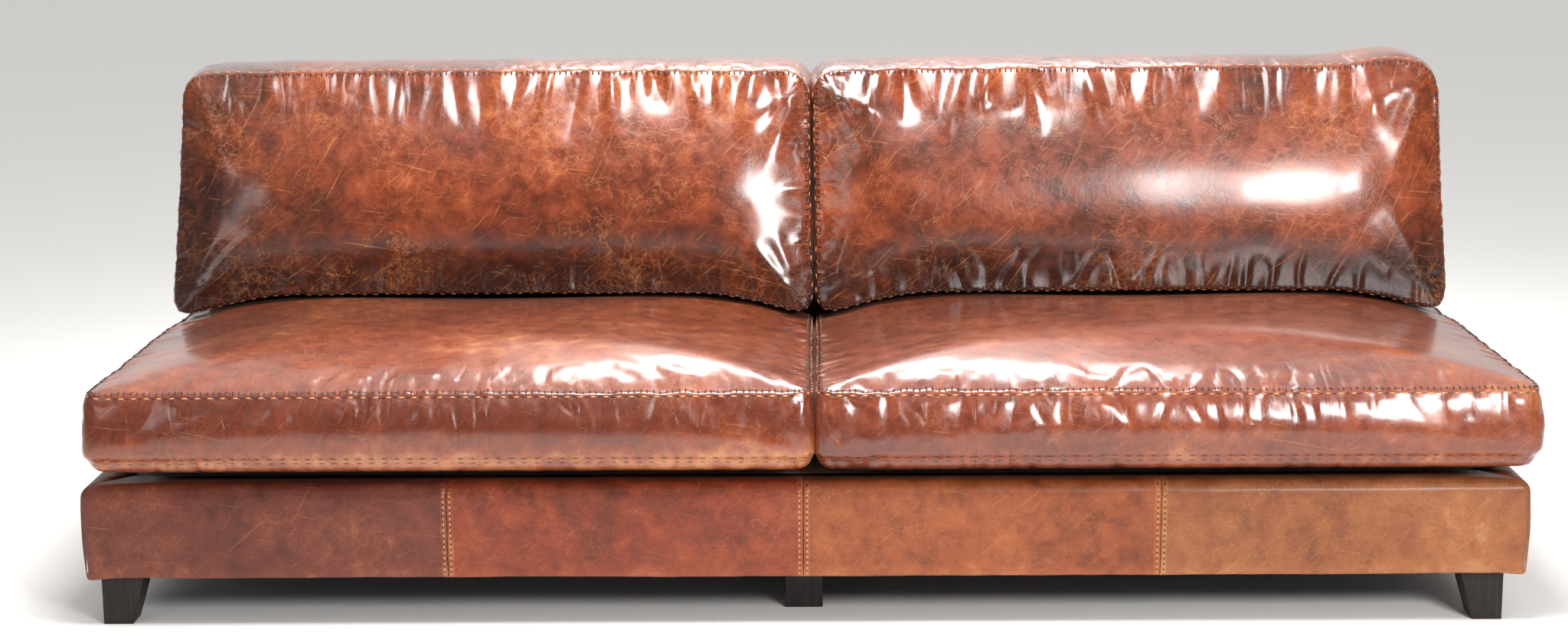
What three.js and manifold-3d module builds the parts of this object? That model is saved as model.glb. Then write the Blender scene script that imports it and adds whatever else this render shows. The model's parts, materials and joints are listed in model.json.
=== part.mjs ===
// Armless leather sofa with two loose seat cushions and two loose back cushions.
// Millimetres, +Z up. The front faces -Y and +X is to the right of someone facing the sofa.
// The pieces are placed about the middle of the base, and the whole group is then moved so that
// the origin is the bottom centre of the sofa's box.
import * as THREE from 'three';
import { mergeVertices } from 'three/addons/utils/BufferGeometryUtils.js';
import Module from 'manifold-3d';

const wasm = await Module();
wasm.setup();

// ---- Driving dimensions ----

// Outside of the leather-covered base and of the back frame.
const HALF_WIDTH = 1200;
const HALF_DEPTH = 500;
const BASE_BOTTOM = 85;
const BASE_TOP = 244;
const BACK_TOP = 700;

// The inside back leans: its face is this far behind the base's middle at the seat and at the top.
const INSIDE_BACK_AT_BASE = 350;
const INSIDE_BACK_AT_TOP = 425;

// Thicknesses of the layers, from the outside in, and the clearance between pieces that touch.
const GAP = 0.3;
const LEATHER = 2;
const WADDING = 10;
const DUST_CLOTH = 1;
const BOARD = 28;
const TOP_RAIL_HIGH = 60;
const WEB_THICK = 2.5;
const WEB_WIDE = 80;
const WEB_END_INSET = 8;
const SEAT_WEBS = 6;

// Heights of the back webs up the slope of the inside back, and how far its padding stops short.
const BACK_WEB_HEIGHTS = [120, 270];
const BACK_PAD_INSET = 10;

// The deck pad lies under the seat cushions, this far in from the base's outer faces.
const DECK_INSET_SIDE = 50;
const DECK_INSET_FRONT = 30;

// Leather panels: top edge radius, bottom edge radius, and how far they turn in at top and bottom.
const TOP_RADIUS = 20;
const BOTTOM_RADIUS = 6;
const TOP_TURN = 70;
const BOTTOM_TURN = 25;
// The inside back's leather is tucked down this far past the top of the base.
const TUCK = 8;
const FRONT_SEAMS = [-592, 0, 592];

// Feet: the corner ones taper on their two inner sides, the centre ones are straight.
const FOOT_TOP = 72;
const FOOT_BOTTOM = 50;
const FOOT_CENTRE = 64;
const FOOT_INSET_LEFT = 21;
const FOOT_INSET_RIGHT = 33;
const FOOT_INSET_FRONT = 20;
const FOOT_CENTRE_INSET = 100;
const BLOCK = 90;
const BLOCK_HIGH = 50;
const BOLT_RADIUS = 4;
const BOLT_LONG = 92;
const BOLT_FROM_FLOOR = 45;
const BOLT_SIDES = 12;
const HOLE_RADIUS = 4.5;

// Loose cushions: width from left to right of each one, then depths and heights shared by a pair.
const SEAT_X = { left: [-1187, 17], right: [22, 1213] };
const SEAT_FRONT = -510;
const SEAT_BACK = 342;
const SEAT_SEAM_TOP = 400;
const SEAT_CROWN = 44;
const BACK_X = { left: [-1192, 18], right: [23, 1207] };
const BACK_CUSHION_FRONT = 134;
const BACK_CUSHION_DEEP = 212;
const BACK_CUSHION_BOTTOM = 425;
const BACK_CUSHION_SEAM_TOP = 852;
const BACK_CUSHION_CROWN = 16;
const BACK_CUSHION_LEAN = 0.255;
const EDGE_RADIUS = 24;
// The crown is highest this share of the half depth in front of the middle, and falls off by this
// many radians of a cosine towards the front and back edges.
const CROWN_FORWARD = 0.2;
const CROWN_FALL = 1.25;
const FILLING_CLEARANCE = 1;
const ZIP_HALF_LONG = 450;
const ZIP_HALF_WIDE = 6;

// ---- Dimensions worked out from those ----

const RAIL_OUT_X = HALF_WIDTH - LEATHER - WADDING - 2 * GAP;
const RAIL_OUT_Y = HALF_DEPTH - LEATHER - WADDING - 2 * GAP;
const RAIL_IN_X = RAIL_OUT_X - BOARD;
const RAIL_IN_Y = RAIL_OUT_Y - BOARD;
const RAIL_BOTTOM = BASE_BOTTOM + LEATHER + GAP;
const DECK_TOP = BASE_TOP - LEATHER - GAP;
const DECK_BOTTOM = DECK_TOP - WADDING;
const WEB_BOTTOM = DECK_BOTTOM - GAP - WEB_THICK;
const RAIL_TOP = WEB_BOTTOM - GAP;
const OUTSIDE_BACK_IN = HALF_DEPTH - LEATHER - GAP;
const FRAME_TOP = BACK_TOP - LEATHER - GAP;

// Distance of the sloping inside-back face behind the base's middle at height z.
const SLOPE = (INSIDE_BACK_AT_TOP - INSIDE_BACK_AT_BASE) / (BACK_TOP - BASE_TOP);
const TILT = Math.atan(SLOPE);
const insideBack = (z) => INSIDE_BACK_AT_BASE + (z - BASE_TOP) * SLOPE;
const BACK_LAYERS = LEATHER + WADDING + WEB_THICK + 3 * GAP;
const postFront = (z) => insideBack(Math.max(z, BASE_TOP)) + BACK_LAYERS / Math.cos(TILT) + GAP;

// ---- Finishes ----

const FINISHES = {
  leather: { color: 0x8a4428, roughness: 0.36, metalness: 0 },
  pine: { color: 0xc8a46e, roughness: 0.75, metalness: 0 },
  stained_wood: { color: 0x2a1c1a, roughness: 0.42, metalness: 0 },
  webbing: { color: 0x4a4238, roughness: 0.9, metalness: 0 },
  padding: { color: 0xe6e2d8, roughness: 0.95, metalness: 0 },
  dust_cloth: { color: 0x1d1d20, roughness: 0.95, metalness: 0 },
  zinc_steel: { color: 0x9fa2a6, roughness: 0.35, metalness: 1 },
  zip_tape: { color: 0x4d3020, roughness: 0.8, metalness: 0 },
};

const sofa = new THREE.Group();

// Adds a piece to the sofa, or to a group inside it, with a finish of its own.
function add(name, finish, geometry, parent = sofa) {
  const mesh = new THREE.Mesh(geometry, new THREE.MeshStandardMaterial(FINISHES[finish]));
  mesh.name = name;
  parent.add(mesh);
  return mesh;
}

// ---- Shapes ----

function boxBetween([x0, x1], [y0, y1], [z0, z1]) {
  const geometry = new THREE.BoxGeometry(x1 - x0, y1 - y0, z1 - z0);
  return geometry.translate((x0 + x1) / 2, (y0 + y1) / 2, (z0 + z1) / 2);
}

function upright(radius, [z0, z1], x, y) {
  const geometry = new THREE.CylinderGeometry(radius, radius, z1 - z0, BOLT_SIDES);
  return geometry.rotateX(Math.PI / 2).translate(x, y, (z0 + z1) / 2);
}

const extruded = (shape, depth) => new THREE.ExtrudeGeometry(shape, { depth, bevelEnabled: false });

// A section drawn in (y, z), run along x from x0 to x1.
function alongX(shape, [x0, x1]) {
  return extruded(shape, x1 - x0).rotateY(Math.PI / 2).rotateX(Math.PI / 2).translate(x0, 0, 0);
}

// A section drawn in (x, z), run along y from y0 to y1.
function alongY(shape, [y0, y1]) {
  return extruded(shape, y1 - y0).rotateX(Math.PI / 2).translate(0, y1, 0);
}

// A plan drawn in (x, y), raised from z0 to z1.
function upwards(shape, [z0, z1]) {
  return extruded(shape, z1 - z0).translate(0, 0, z0);
}

// The two ends of a span measured from the middle on the side given by sign, low end first.
const mirrored = (sign, a, b) => [sign * a, sign * b].sort((low, high) => low - high);

function outline(points) {
  return new THREE.Shape(points.map(([a, b]) => new THREE.Vector2(a, b)));
}

function solid(geometry) {
  const bare = geometry.index ? geometry.toNonIndexed() : geometry.clone();
  bare.deleteAttribute('normal');
  bare.deleteAttribute('uv');
  const merged = mergeVertices(bare, 1e-3);
  const vertProperties = new Float32Array(merged.attributes.position.array);
  const triVerts = new Uint32Array(merged.index.array);
  return new wasm.Manifold(new wasm.Mesh({ numProp: 3, vertProperties, triVerts }));
}

// The first geometry with the others cut out of it.
function cut(geometry, ...tools) {
  const left = tools.reduce((body, tool) => body.subtract(solid(tool)), solid(geometry));
  const mesh = left.getMesh();
  const made = new THREE.BufferGeometry();
  made.setAttribute('position', new THREE.BufferAttribute(mesh.vertProperties, mesh.numProp));
  made.setIndex(new THREE.BufferAttribute(mesh.triVerts, 1));
  made.computeVertexNormals();
  return made;
}

// ---- Timber frame ----

const RAIL_X = [-RAIL_OUT_X, RAIL_OUT_X];
const BETWEEN_RAILS_X = [-RAIL_IN_X + GAP, RAIL_IN_X - GAP];
const RAIL_Z = [RAIL_BOTTOM, RAIL_TOP];
const CENTRE_BOARD_X = [-BOARD / 2, BOARD / 2];
const BOLT_Z = [BOLT_FROM_FLOOR, BOLT_FROM_FLOOR + BOLT_LONG];
const BOLT_HOLE_Z = [BOLT_Z[0] - GAP, BOLT_Z[1] + GAP];
const footInset = { left: FOOT_INSET_LEFT, right: FOOT_INSET_RIGHT };
const sideSign = { left: -1, right: 1 };
const endSign = { front: -1, back: 1 };

// Where each foot's bolt stands, as [x, y], and the hole that it needs.
const FOOT_BOLTS = {};
const boltHole = (spot) => upright(HOLE_RADIUS, BOLT_HOLE_Z, ...FOOT_BOLTS[spot]);

for (const [side, sx] of Object.entries(sideSign)) {
  for (const [end, sy] of Object.entries(endSign)) {
    const x = sx * (HALF_WIDTH - footInset[side] - FOOT_TOP / 2);
    FOOT_BOLTS[`${end}_${side}`] = [x, sy * (HALF_DEPTH - FOOT_INSET_FRONT - FOOT_TOP / 2)];
  }
}
for (const [end, sy] of Object.entries(endSign)) {
  FOOT_BOLTS[`${end}_centre`] = [0, sy * (HALF_DEPTH - FOOT_CENTRE_INSET - FOOT_CENTRE / 2)];
}

const POST_Y = postFront(BASE_TOP);
add('base_front_rail', 'pine', boxBetween(RAIL_X, [-RAIL_OUT_Y, -RAIL_IN_Y], RAIL_Z));
add('base_back_rail', 'pine', boxBetween(BETWEEN_RAILS_X, [RAIL_IN_Y, RAIL_OUT_Y], RAIL_Z));
add(
  'base_centre_rail',
  'pine',
  cut(
    boxBetween(CENTRE_BOARD_X, [-RAIL_IN_Y + GAP, RAIL_IN_Y - GAP], RAIL_Z),
    boltHole('front_centre'),
    boltHole('back_centre'),
  ),
);

// The back posts lean on their front edge and stand behind the side rails.
const postOutline = (bottom) =>
  outline([
    [RAIL_OUT_Y, bottom],
    [RAIL_OUT_Y, FRAME_TOP],
    [postFront(FRAME_TOP), FRAME_TOP],
    [POST_Y, BASE_TOP],
    [POST_Y, bottom],
  ]);
for (const [side, sx] of Object.entries(sideSign)) {
  const across = mirrored(sx, RAIL_OUT_X, RAIL_IN_X);
  const sideRail = boxBetween(across, [-RAIL_IN_Y + GAP, POST_Y - GAP], RAIL_Z);
  add(`base_${side}_rail`, 'pine', sideRail);
  add(`back_${side}_post`, 'pine', alongX(postOutline(RAIL_BOTTOM), across));
}

const TOP_RAIL_BOTTOM = FRAME_TOP - TOP_RAIL_HIGH;
add(
  'back_top_rail',
  'pine',
  alongX(
    outline([
      [RAIL_OUT_Y, TOP_RAIL_BOTTOM],
      [RAIL_OUT_Y, FRAME_TOP],
      [postFront(FRAME_TOP), FRAME_TOP],
      [postFront(TOP_RAIL_BOTTOM), TOP_RAIL_BOTTOM],
    ]),
    BETWEEN_RAILS_X,
  ),
);
add(
  'back_centre_post',
  'pine',
  alongX(
    outline([
      [RAIL_OUT_Y, RAIL_TOP + GAP],
      [RAIL_OUT_Y, TOP_RAIL_BOTTOM - GAP],
      [postFront(TOP_RAIL_BOTTOM), TOP_RAIL_BOTTOM - GAP],
      [POST_Y, BASE_TOP],
      [POST_Y, RAIL_TOP + GAP],
    ]),
    CENTRE_BOARD_X,
  ),
);

// A block is glued into each corner of the base, and a foot is bolted up into it.
for (const [side, sx] of Object.entries(sideSign)) {
  for (const [end, sy] of Object.entries(endSign)) {
    const x = mirrored(sx, RAIL_IN_X - GAP, RAIL_IN_X - BLOCK);
    const y = mirrored(sy, RAIL_IN_Y - GAP, RAIL_IN_Y - BLOCK);
    const block = boxBetween(x, y, [RAIL_BOTTOM, RAIL_BOTTOM + BLOCK_HIGH]);
    add(`corner_block_${end}_${side}`, 'pine', cut(block, boltHole(`${end}_${side}`)));
  }
}

// ---- Feet and their bolts ----

// Four-sided foot from its outline at the floor and at the top, as [x0, x1] and [y0, y1] pairs.
function taperedFoot(floorX, floorY, topX, topY) {
  const geometry = new THREE.BoxGeometry(1, 1, 1);
  const position = geometry.attributes.position;
  for (let i = 0; i < position.count; i += 1) {
    const high = position.getZ(i) > 0;
    const x = (high ? topX : floorX)[position.getX(i) > 0 ? 1 : 0];
    const y = (high ? topY : floorY)[position.getY(i) > 0 ? 1 : 0];
    position.setXYZ(i, x, y, high ? BASE_BOTTOM - GAP : 0);
  }
  return geometry;
}

// The span that starts at an outer face and runs inwards by size, low end first.
const inwards = (sign, outer, size) => mirrored(sign, outer, outer - size);
const footOuterY = HALF_DEPTH - FOOT_INSET_FRONT;
for (const [end, sy] of Object.entries(endSign)) {
  for (const [side, sx] of Object.entries(sideSign)) {
    const outerX = HALF_WIDTH - footInset[side];
    const foot = taperedFoot(
      inwards(sx, outerX, FOOT_BOTTOM),
      inwards(sy, footOuterY, FOOT_BOTTOM),
      inwards(sx, outerX, FOOT_TOP),
      inwards(sy, footOuterY, FOOT_TOP),
    );
    add(`foot_${end}_${side}`, 'stained_wood', cut(foot, boltHole(`${end}_${side}`)));
  }
  const centreX = [-FOOT_CENTRE / 2, FOOT_CENTRE / 2];
  const centreY = inwards(sy, HALF_DEPTH - FOOT_CENTRE_INSET, FOOT_CENTRE);
  const straight = taperedFoot(centreX, centreY, centreX, centreY);
  add(`foot_${end}_centre`, 'stained_wood', cut(straight, boltHole(`${end}_centre`)));
}
for (const [spot, [x, y]] of Object.entries(FOOT_BOLTS)) {
  add(`foot_bolt_${spot}`, 'zinc_steel', upright(BOLT_RADIUS, BOLT_Z, x, y));
}

// ---- Webbing and padding ----

const SEAT_WEB_PITCH = (2 * RAIL_IN_X) / SEAT_WEBS;
for (let i = 0; i < SEAT_WEBS; i += 1) {
  const x = (i - (SEAT_WEBS - 1) / 2) * SEAT_WEB_PITCH;
  const web = boxBetween(
    [x - WEB_WIDE / 2, x + WEB_WIDE / 2],
    [-RAIL_OUT_Y + WEB_END_INSET, RAIL_OUT_Y - WEB_END_INSET],
    [WEB_BOTTOM, WEB_BOTTOM + WEB_THICK],
  );
  add(`seat_web_${i + 1}`, 'webbing', web);
}

const wadOutX = HALF_WIDTH - LEATHER - GAP;
const wadOutY = HALF_DEPTH - LEATHER - GAP;
const wadBack = OUTSIDE_BACK_IN - GAP;
add(
  'base_wadding',
  'padding',
  upwards(
    outline([
      [-wadOutX, -wadOutY],
      [wadOutX, -wadOutY],
      [wadOutX, wadBack],
      [wadOutX - WADDING, wadBack],
      [wadOutX - WADDING, -wadOutY + WADDING],
      [-wadOutX + WADDING, -wadOutY + WADDING],
      [-wadOutX + WADDING, wadBack],
      [-wadOutX, wadBack],
    ]),
    [RAIL_BOTTOM + BOTTOM_RADIUS, BASE_TOP - TOP_RADIUS],
  ),
);
const deckX = HALF_WIDTH - DECK_INSET_SIDE;
const deckY = [-HALF_DEPTH + DECK_INSET_FRONT, INSIDE_BACK_AT_BASE - BACK_PAD_INSET];
add('seat_deck_pad', 'padding', boxBetween([-deckX, deckX], deckY, [DECK_BOTTOM, DECK_TOP]));

// The layers of the inside back lie in a group that leans with it, counted inwards along y.
const leaning = new THREE.Group();
leaning.position.set(0, INSIDE_BACK_AT_BASE, BASE_TOP);
leaning.rotation.x = -TILT;
sofa.add(leaning);
const SLOPE_LONG = (FRAME_TOP - BASE_TOP) / Math.cos(TILT);
const padFront = LEATHER + GAP;
const webFront = padFront + WADDING + GAP;
const padX = RAIL_OUT_X - BACK_PAD_INSET;
const padUp = [BACK_PAD_INSET, SLOPE_LONG - BACK_PAD_INSET];
add('back_wadding', 'padding', boxBetween([-padX, padX], [padFront, padFront + WADDING], padUp), leaning);
BACK_WEB_HEIGHTS.forEach((height, i) => {
  const web = boxBetween([-padX, padX], [webFront, webFront + WEB_THICK], [height, height + WEB_WIDE]);
  add(`back_web_${i + 1}`, 'webbing', web, leaning);
});

// ---- Leather over the frame ----

// Section of a panel that turns in over the top and under the bottom. Its face is at out, and it
// turns towards the middle, so the same section serves the front, the left and the right.
function wrapSection(out, sign) {
  const half = Math.PI / 2;
  const section = new THREE.Shape();
  section.moveTo(BOTTOM_TURN, BASE_BOTTOM);
  section.lineTo(BOTTOM_TURN, BASE_BOTTOM + LEATHER);
  section.absarc(BOTTOM_RADIUS, BASE_BOTTOM + BOTTOM_RADIUS, BOTTOM_RADIUS - LEATHER, -half, -2 * half, true);
  section.absarc(TOP_RADIUS, BASE_TOP - TOP_RADIUS, TOP_RADIUS - LEATHER, 2 * half, half, true);
  section.lineTo(TOP_TURN, BASE_TOP - LEATHER);
  section.lineTo(TOP_TURN, BASE_TOP);
  section.absarc(TOP_RADIUS, BASE_TOP - TOP_RADIUS, TOP_RADIUS, half, 2 * half, false);
  section.absarc(BOTTOM_RADIUS, BASE_BOTTOM + BOTTOM_RADIUS, BOTTOM_RADIUS, 2 * half, 3 * half, false);
  const points = section.getPoints(4).map((p) => new THREE.Vector2(out - sign * p.x, p.y));
  return new THREE.Shape(points);
}

// Right-angled wedge on the outer side of the 45 degree mitre at a front corner, for cutting one
// panel where the next one starts. keep is 'front' or 'side': the panel that is being cut.
function mitre(sx, keep) {
  const corner = [sx * HALF_WIDTH, -HALF_DEPTH];
  const reach = 2 * TOP_TURN;
  const along = keep === 'front' ? [0, -GAP] : [sx * GAP, 0];
  const start = [corner[0] + sx * reach + along[0], corner[1] - reach + along[1]];
  const end = [corner[0] - sx * reach + along[0], corner[1] + reach + along[1]];
  const third = keep === 'front' ? [start[0], end[1]] : [end[0], start[1]];
  return upwards(outline([start, end, third]), [0, BACK_TOP]);
}

const panelEnds = [-HALF_WIDTH, ...FRONT_SEAMS, HALF_WIDTH];
const frontSection = wrapSection(-HALF_DEPTH, -1);
const mitres = [mitre(-1, 'front'), mitre(1, 'front')];
for (let i = 0; i + 1 < panelEnds.length; i += 1) {
  const panel = alongX(frontSection, [panelEnds[i] + GAP / 2, panelEnds[i + 1] - GAP / 2]);
  add(`base_cover_front_${i + 1}`, 'leather', cut(panel, ...mitres));
}

// The side covers run the whole depth and are notched where the back frame stands up.
const SIDE_OF_BACK = RAIL_OUT_X + GAP;
for (const [side, sx] of Object.entries(sideSign)) {
  const strip = alongY(wrapSection(sx * HALF_WIDTH, sx), [-HALF_DEPTH, OUTSIDE_BACK_IN]);
  const notchX = mirrored(sx, 0, SIDE_OF_BACK + LEATHER + GAP);
  const notch = boxBetween(notchX, [INSIDE_BACK_AT_BASE - TUCK, 2 * HALF_DEPTH], [BASE_TOP - TUCK, BACK_TOP]);
  add(`base_cover_${side}`, 'leather', cut(strip, mitre(sx, 'side'), notch));

  const inner = LEATHER / Math.cos(TILT) + GAP;
  const cheek = outline([
    [OUTSIDE_BACK_IN, BASE_TOP + GAP],
    [OUTSIDE_BACK_IN, FRAME_TOP],
    [insideBack(FRAME_TOP) + inner, FRAME_TOP],
    [insideBack(BASE_TOP) + inner, BASE_TOP + GAP],
  ]);
  const cheekX = mirrored(sx, SIDE_OF_BACK, SIDE_OF_BACK + LEATHER);
  add(`back_side_cover_${side}`, 'leather', alongX(cheek, cheekX));
}

// Inside back: up the slope, then over the top of the frame to the outside back.
const slopeThick = LEATHER / Math.cos(TILT);
const tuckedEnd = BASE_TOP - TUCK;
add(
  'inside_back_cover',
  'leather',
  alongX(
    outline([
      [insideBack(tuckedEnd), tuckedEnd],
      [insideBack(tuckedEnd) + slopeThick, tuckedEnd],
      [insideBack(BACK_TOP - LEATHER) + slopeThick, BACK_TOP - LEATHER],
      [OUTSIDE_BACK_IN, BACK_TOP - LEATHER],
      [OUTSIDE_BACK_IN, BACK_TOP],
      [insideBack(BACK_TOP), BACK_TOP],
    ]),
    [-SIDE_OF_BACK - LEATHER, SIDE_OF_BACK + LEATHER],
  ),
);

// Outside back: two flat panels that turn in under the base, narrower above the base.
const outsideSection = outline([
  [HALF_DEPTH, BASE_BOTTOM],
  [HALF_DEPTH, BACK_TOP],
  [HALF_DEPTH - LEATHER, BACK_TOP],
  [HALF_DEPTH - LEATHER, BASE_BOTTOM + LEATHER],
  [HALF_DEPTH - BOTTOM_TURN, BASE_BOTTOM + LEATHER],
  [HALF_DEPTH - BOTTOM_TURN, BASE_BOTTOM],
]);
for (const [side, sx] of Object.entries(sideSign)) {
  const panel = alongX(outsideSection, mirrored(sx, GAP, HALF_WIDTH));
  const upperX = mirrored(sx, SIDE_OF_BACK + LEATHER, 2 * HALF_WIDTH);
  const underX = mirrored(sx, HALF_WIDTH - BOTTOM_TURN - GAP, 2 * HALF_WIDTH);
  const upperStep = boxBetween(upperX, [0, 2 * HALF_DEPTH], [BASE_TOP, 2 * BACK_TOP]);
  const underStep = boxBetween(underX, [0, HALF_DEPTH - LEATHER], [0, RAIL_TOP]);
  add(`outside_back_${side}`, 'leather', cut(panel, upperStep, underStep));
}

const clothX = HALF_WIDTH - BOTTOM_TURN - GAP;
const clothY = HALF_DEPTH - BOTTOM_TURN - GAP;
const clothZ = [BASE_BOTTOM + LEATHER - DUST_CLOTH, BASE_BOTTOM + LEATHER];
const cloth = boxBetween([-clothX, clothX], [-clothY, clothY], clothZ);
add('dust_cover', 'dust_cloth', cut(cloth, ...Object.keys(FOOT_BOLTS).map(boltHole)));

// ---- Loose cushions ----

// Box with rounded edges. crown lifts the top face, and lean moves each point back by its height.
function cushion([x0, x1], [y0, y1], [z0, z1], shrink, crown, lean) {
  const low = [x0 + shrink, y0 + shrink, z0 + shrink];
  const high = [x1 - shrink, y1 - shrink, z1 - shrink];
  const steps = [6, 5, 3];
  const radius = EDGE_RADIUS - shrink;
  const geometry = new THREE.BoxGeometry(2, 2, 2, ...steps);
  const position = geometry.attributes.position;
  const point = new THREE.Vector3();
  const core = new THREE.Vector3();
  // The first and last steps along each side are the rounded edges, and the rest is shared evenly.
  const stop = (axis, t) => {
    const index = Math.round(((t + 1) / 2) * steps[axis]);
    if (index === 0) return low[axis];
    if (index === steps[axis]) return high[axis];
    const share = (index - 1) / (steps[axis] - 2);
    return low[axis] + radius + share * (high[axis] - low[axis] - 2 * radius);
  };
  for (let i = 0; i < position.count; i += 1) {
    point.fromBufferAttribute(position, i);
    const onTop = point.z > 0.99;
    point.set(stop(0, point.x), stop(1, point.y), stop(2, point.z));
    core.copy(point);
    core.clamp(
      new THREE.Vector3(...low.map((v) => v + radius)),
      new THREE.Vector3(...high.map((v) => v - radius)),
    );
    point.sub(core).setLength(radius).add(core);
    if (onTop) {
      const u = (2 * point.x - x0 - x1) / (x1 - x0);
      const v = (2 * point.y - y0 - y1) / (y1 - y0);
      point.z += crown * (1 - u ** 4) * Math.cos((v + CROWN_FORWARD) * CROWN_FALL);
    }
    point.y += lean * (point.z - z0);
    position.setXYZ(i, point.x, point.y, point.z);
  }
  return geometry;
}

// A cover with its filling and the zip that closes it. zipAxis is the face that the zip is in:
// 'y' for the back border of a seat cushion, 'z' for the bottom border of a back cushion.
function looseCushion(kind, side, x, y, z, crown, lean, zipAxis) {
  const outer = cushion(x, y, z, 0, crown, lean);
  const inner = cushion(x, y, z, LEATHER, crown, lean);
  const middle = (x[0] + x[1]) / 2;
  const zipX = [middle - ZIP_HALF_LONG, middle + ZIP_HALF_LONG];
  const zipXin = [zipX[0] + GAP, zipX[1] - GAP];
  const band = zipAxis === 'y' ? (z[0] + z[1]) / 2 : (y[0] + y[1]) / 2;
  const slit = [band - ZIP_HALF_WIDE, band + ZIP_HALF_WIDE];
  const tape = [slit[0] + GAP, slit[1] - GAP];
  const wall = zipAxis === 'y' ? [y[1] - LEATHER, y[1]] : [z[0], z[0] + LEATHER];
  const through = [wall[0] - GAP, wall[1] + GAP];
  const within = [wall[0] + GAP, wall[1] - GAP];
  const opening = zipAxis === 'y' ? boxBetween(zipX, through, slit) : boxBetween(zipX, slit, through);
  const zip = zipAxis === 'y' ? boxBetween(zipXin, within, tape) : boxBetween(zipXin, tape, within);
  add(`${kind}_cushion_cover_${side}`, 'leather', cut(outer, inner, opening));
  const filling = cushion(x, y, z, LEATHER + FILLING_CLEARANCE, crown, lean);
  add(`${kind}_cushion_filling_${side}`, 'padding', filling);
  add(`${kind}_zip_${side}`, 'zip_tape', zip);
}

const SEAT_Z = [BASE_TOP + GAP, SEAT_SEAM_TOP];
const BACK_Z = [BACK_CUSHION_BOTTOM, BACK_CUSHION_SEAM_TOP];
const BACK_Y = [BACK_CUSHION_FRONT, BACK_CUSHION_FRONT + BACK_CUSHION_DEEP];
for (const side of Object.keys(sideSign)) {
  looseCushion('seat', side, SEAT_X[side], [SEAT_FRONT, SEAT_BACK], SEAT_Z, SEAT_CROWN, 0, 'y');
  looseCushion('back', side, BACK_X[side], BACK_Y, BACK_Z, BACK_CUSHION_CROWN, BACK_CUSHION_LEAN, 'z');
}

// ---- The sofa's own frame: its origin is the bottom centre of its box ----

const whole = new THREE.Box3().setFromObject(sofa);
sofa.position.set(-(whole.min.x + whole.max.x) / 2, -(whole.min.y + whole.max.y) / 2, -whole.min.z);

export default sofa;
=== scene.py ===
import itertools
import json
import math
import random

import bmesh
import bpy
from mathutils import Matrix, Vector, noise
from mathutils.bvhtree import BVHTree
from mathutils.interpolate import poly_3d_calc

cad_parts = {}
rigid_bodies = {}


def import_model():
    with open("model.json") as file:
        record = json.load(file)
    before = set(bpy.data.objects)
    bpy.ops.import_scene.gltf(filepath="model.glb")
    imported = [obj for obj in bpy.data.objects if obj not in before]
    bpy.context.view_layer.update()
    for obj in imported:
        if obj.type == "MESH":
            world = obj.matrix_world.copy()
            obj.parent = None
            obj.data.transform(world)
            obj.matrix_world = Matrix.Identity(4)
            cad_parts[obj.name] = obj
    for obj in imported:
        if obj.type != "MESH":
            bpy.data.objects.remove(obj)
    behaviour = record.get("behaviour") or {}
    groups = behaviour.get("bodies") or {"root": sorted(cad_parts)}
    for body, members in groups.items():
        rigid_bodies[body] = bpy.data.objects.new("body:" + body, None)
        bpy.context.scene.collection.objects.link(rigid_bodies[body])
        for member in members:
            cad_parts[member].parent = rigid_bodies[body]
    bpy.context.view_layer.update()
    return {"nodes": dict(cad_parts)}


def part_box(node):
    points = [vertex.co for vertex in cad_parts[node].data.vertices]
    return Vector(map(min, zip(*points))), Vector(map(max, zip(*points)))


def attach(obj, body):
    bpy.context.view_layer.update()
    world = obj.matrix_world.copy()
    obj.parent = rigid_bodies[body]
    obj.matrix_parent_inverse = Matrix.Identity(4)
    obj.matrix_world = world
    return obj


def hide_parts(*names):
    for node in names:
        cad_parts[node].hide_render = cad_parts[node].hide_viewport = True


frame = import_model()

MM = 0.001
scene = bpy.context.scene
nodes = frame["nodes"]


# ---- Timber frame ----
# Rails, posts and corner blocks of planed pine, glued and stapled together. Nobody sees them once
# the leather is on, but they carry the webbing, the feet and the back.


def linear(code):
    """Linear RGBA of an sRGB hex colour."""
    channels = [int(code[i : i + 2], 16) / 255 for i in (1, 3, 5)]
    return tuple(c / 12.92 if c <= 0.04045 else ((c + 0.055) / 1.055) ** 2.4 for c in channels) + (1.0,)


def put(tree, kind, inputs=None, stops=None, **settings):
    """A new shader node. inputs gives its sockets a value or another node's output, stops its ramp."""
    made = tree.nodes.new("ShaderNode" + kind)
    for name, value in settings.items():
        setattr(made, name, value)
    for place, value in (stops or {}).items():
        first = made.color_ramp.elements[0]
        stop = first if place == min(stops) else made.color_ramp.elements.new(place)
        stop.position = place
        stop.color = value if isinstance(value, tuple) else (value, value, value, 1.0)
    if stops:
        made.color_ramp.elements.remove(made.color_ramp.elements[-1])
    for socket, value in (inputs or {}).items():
        if isinstance(value, bpy.types.NodeSocket):
            tree.links.new(value, made.inputs[socket])
        else:
            made.inputs[socket].default_value = value
    return made


def finish_of(name, colour, roughness):
    """A new material with its own nodes: its tree, its shader and its Object coordinates."""
    material = bpy.data.materials.new(name)
    material.use_nodes = True
    tree = material.node_tree
    shader = tree.nodes["Principled BSDF"]
    shader.inputs["Base Color"].default_value = linear(colour)
    shader.inputs["Roughness"].default_value = roughness
    return material, tree, shader, put(tree, "TexCoord").outputs["Object"]


def dress(material, *names):
    """Gives CAD nodes a material in place of their plain one."""
    for name in names:
        nodes[name].data.materials.clear()
        nodes[name].data.materials.append(material)


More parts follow.
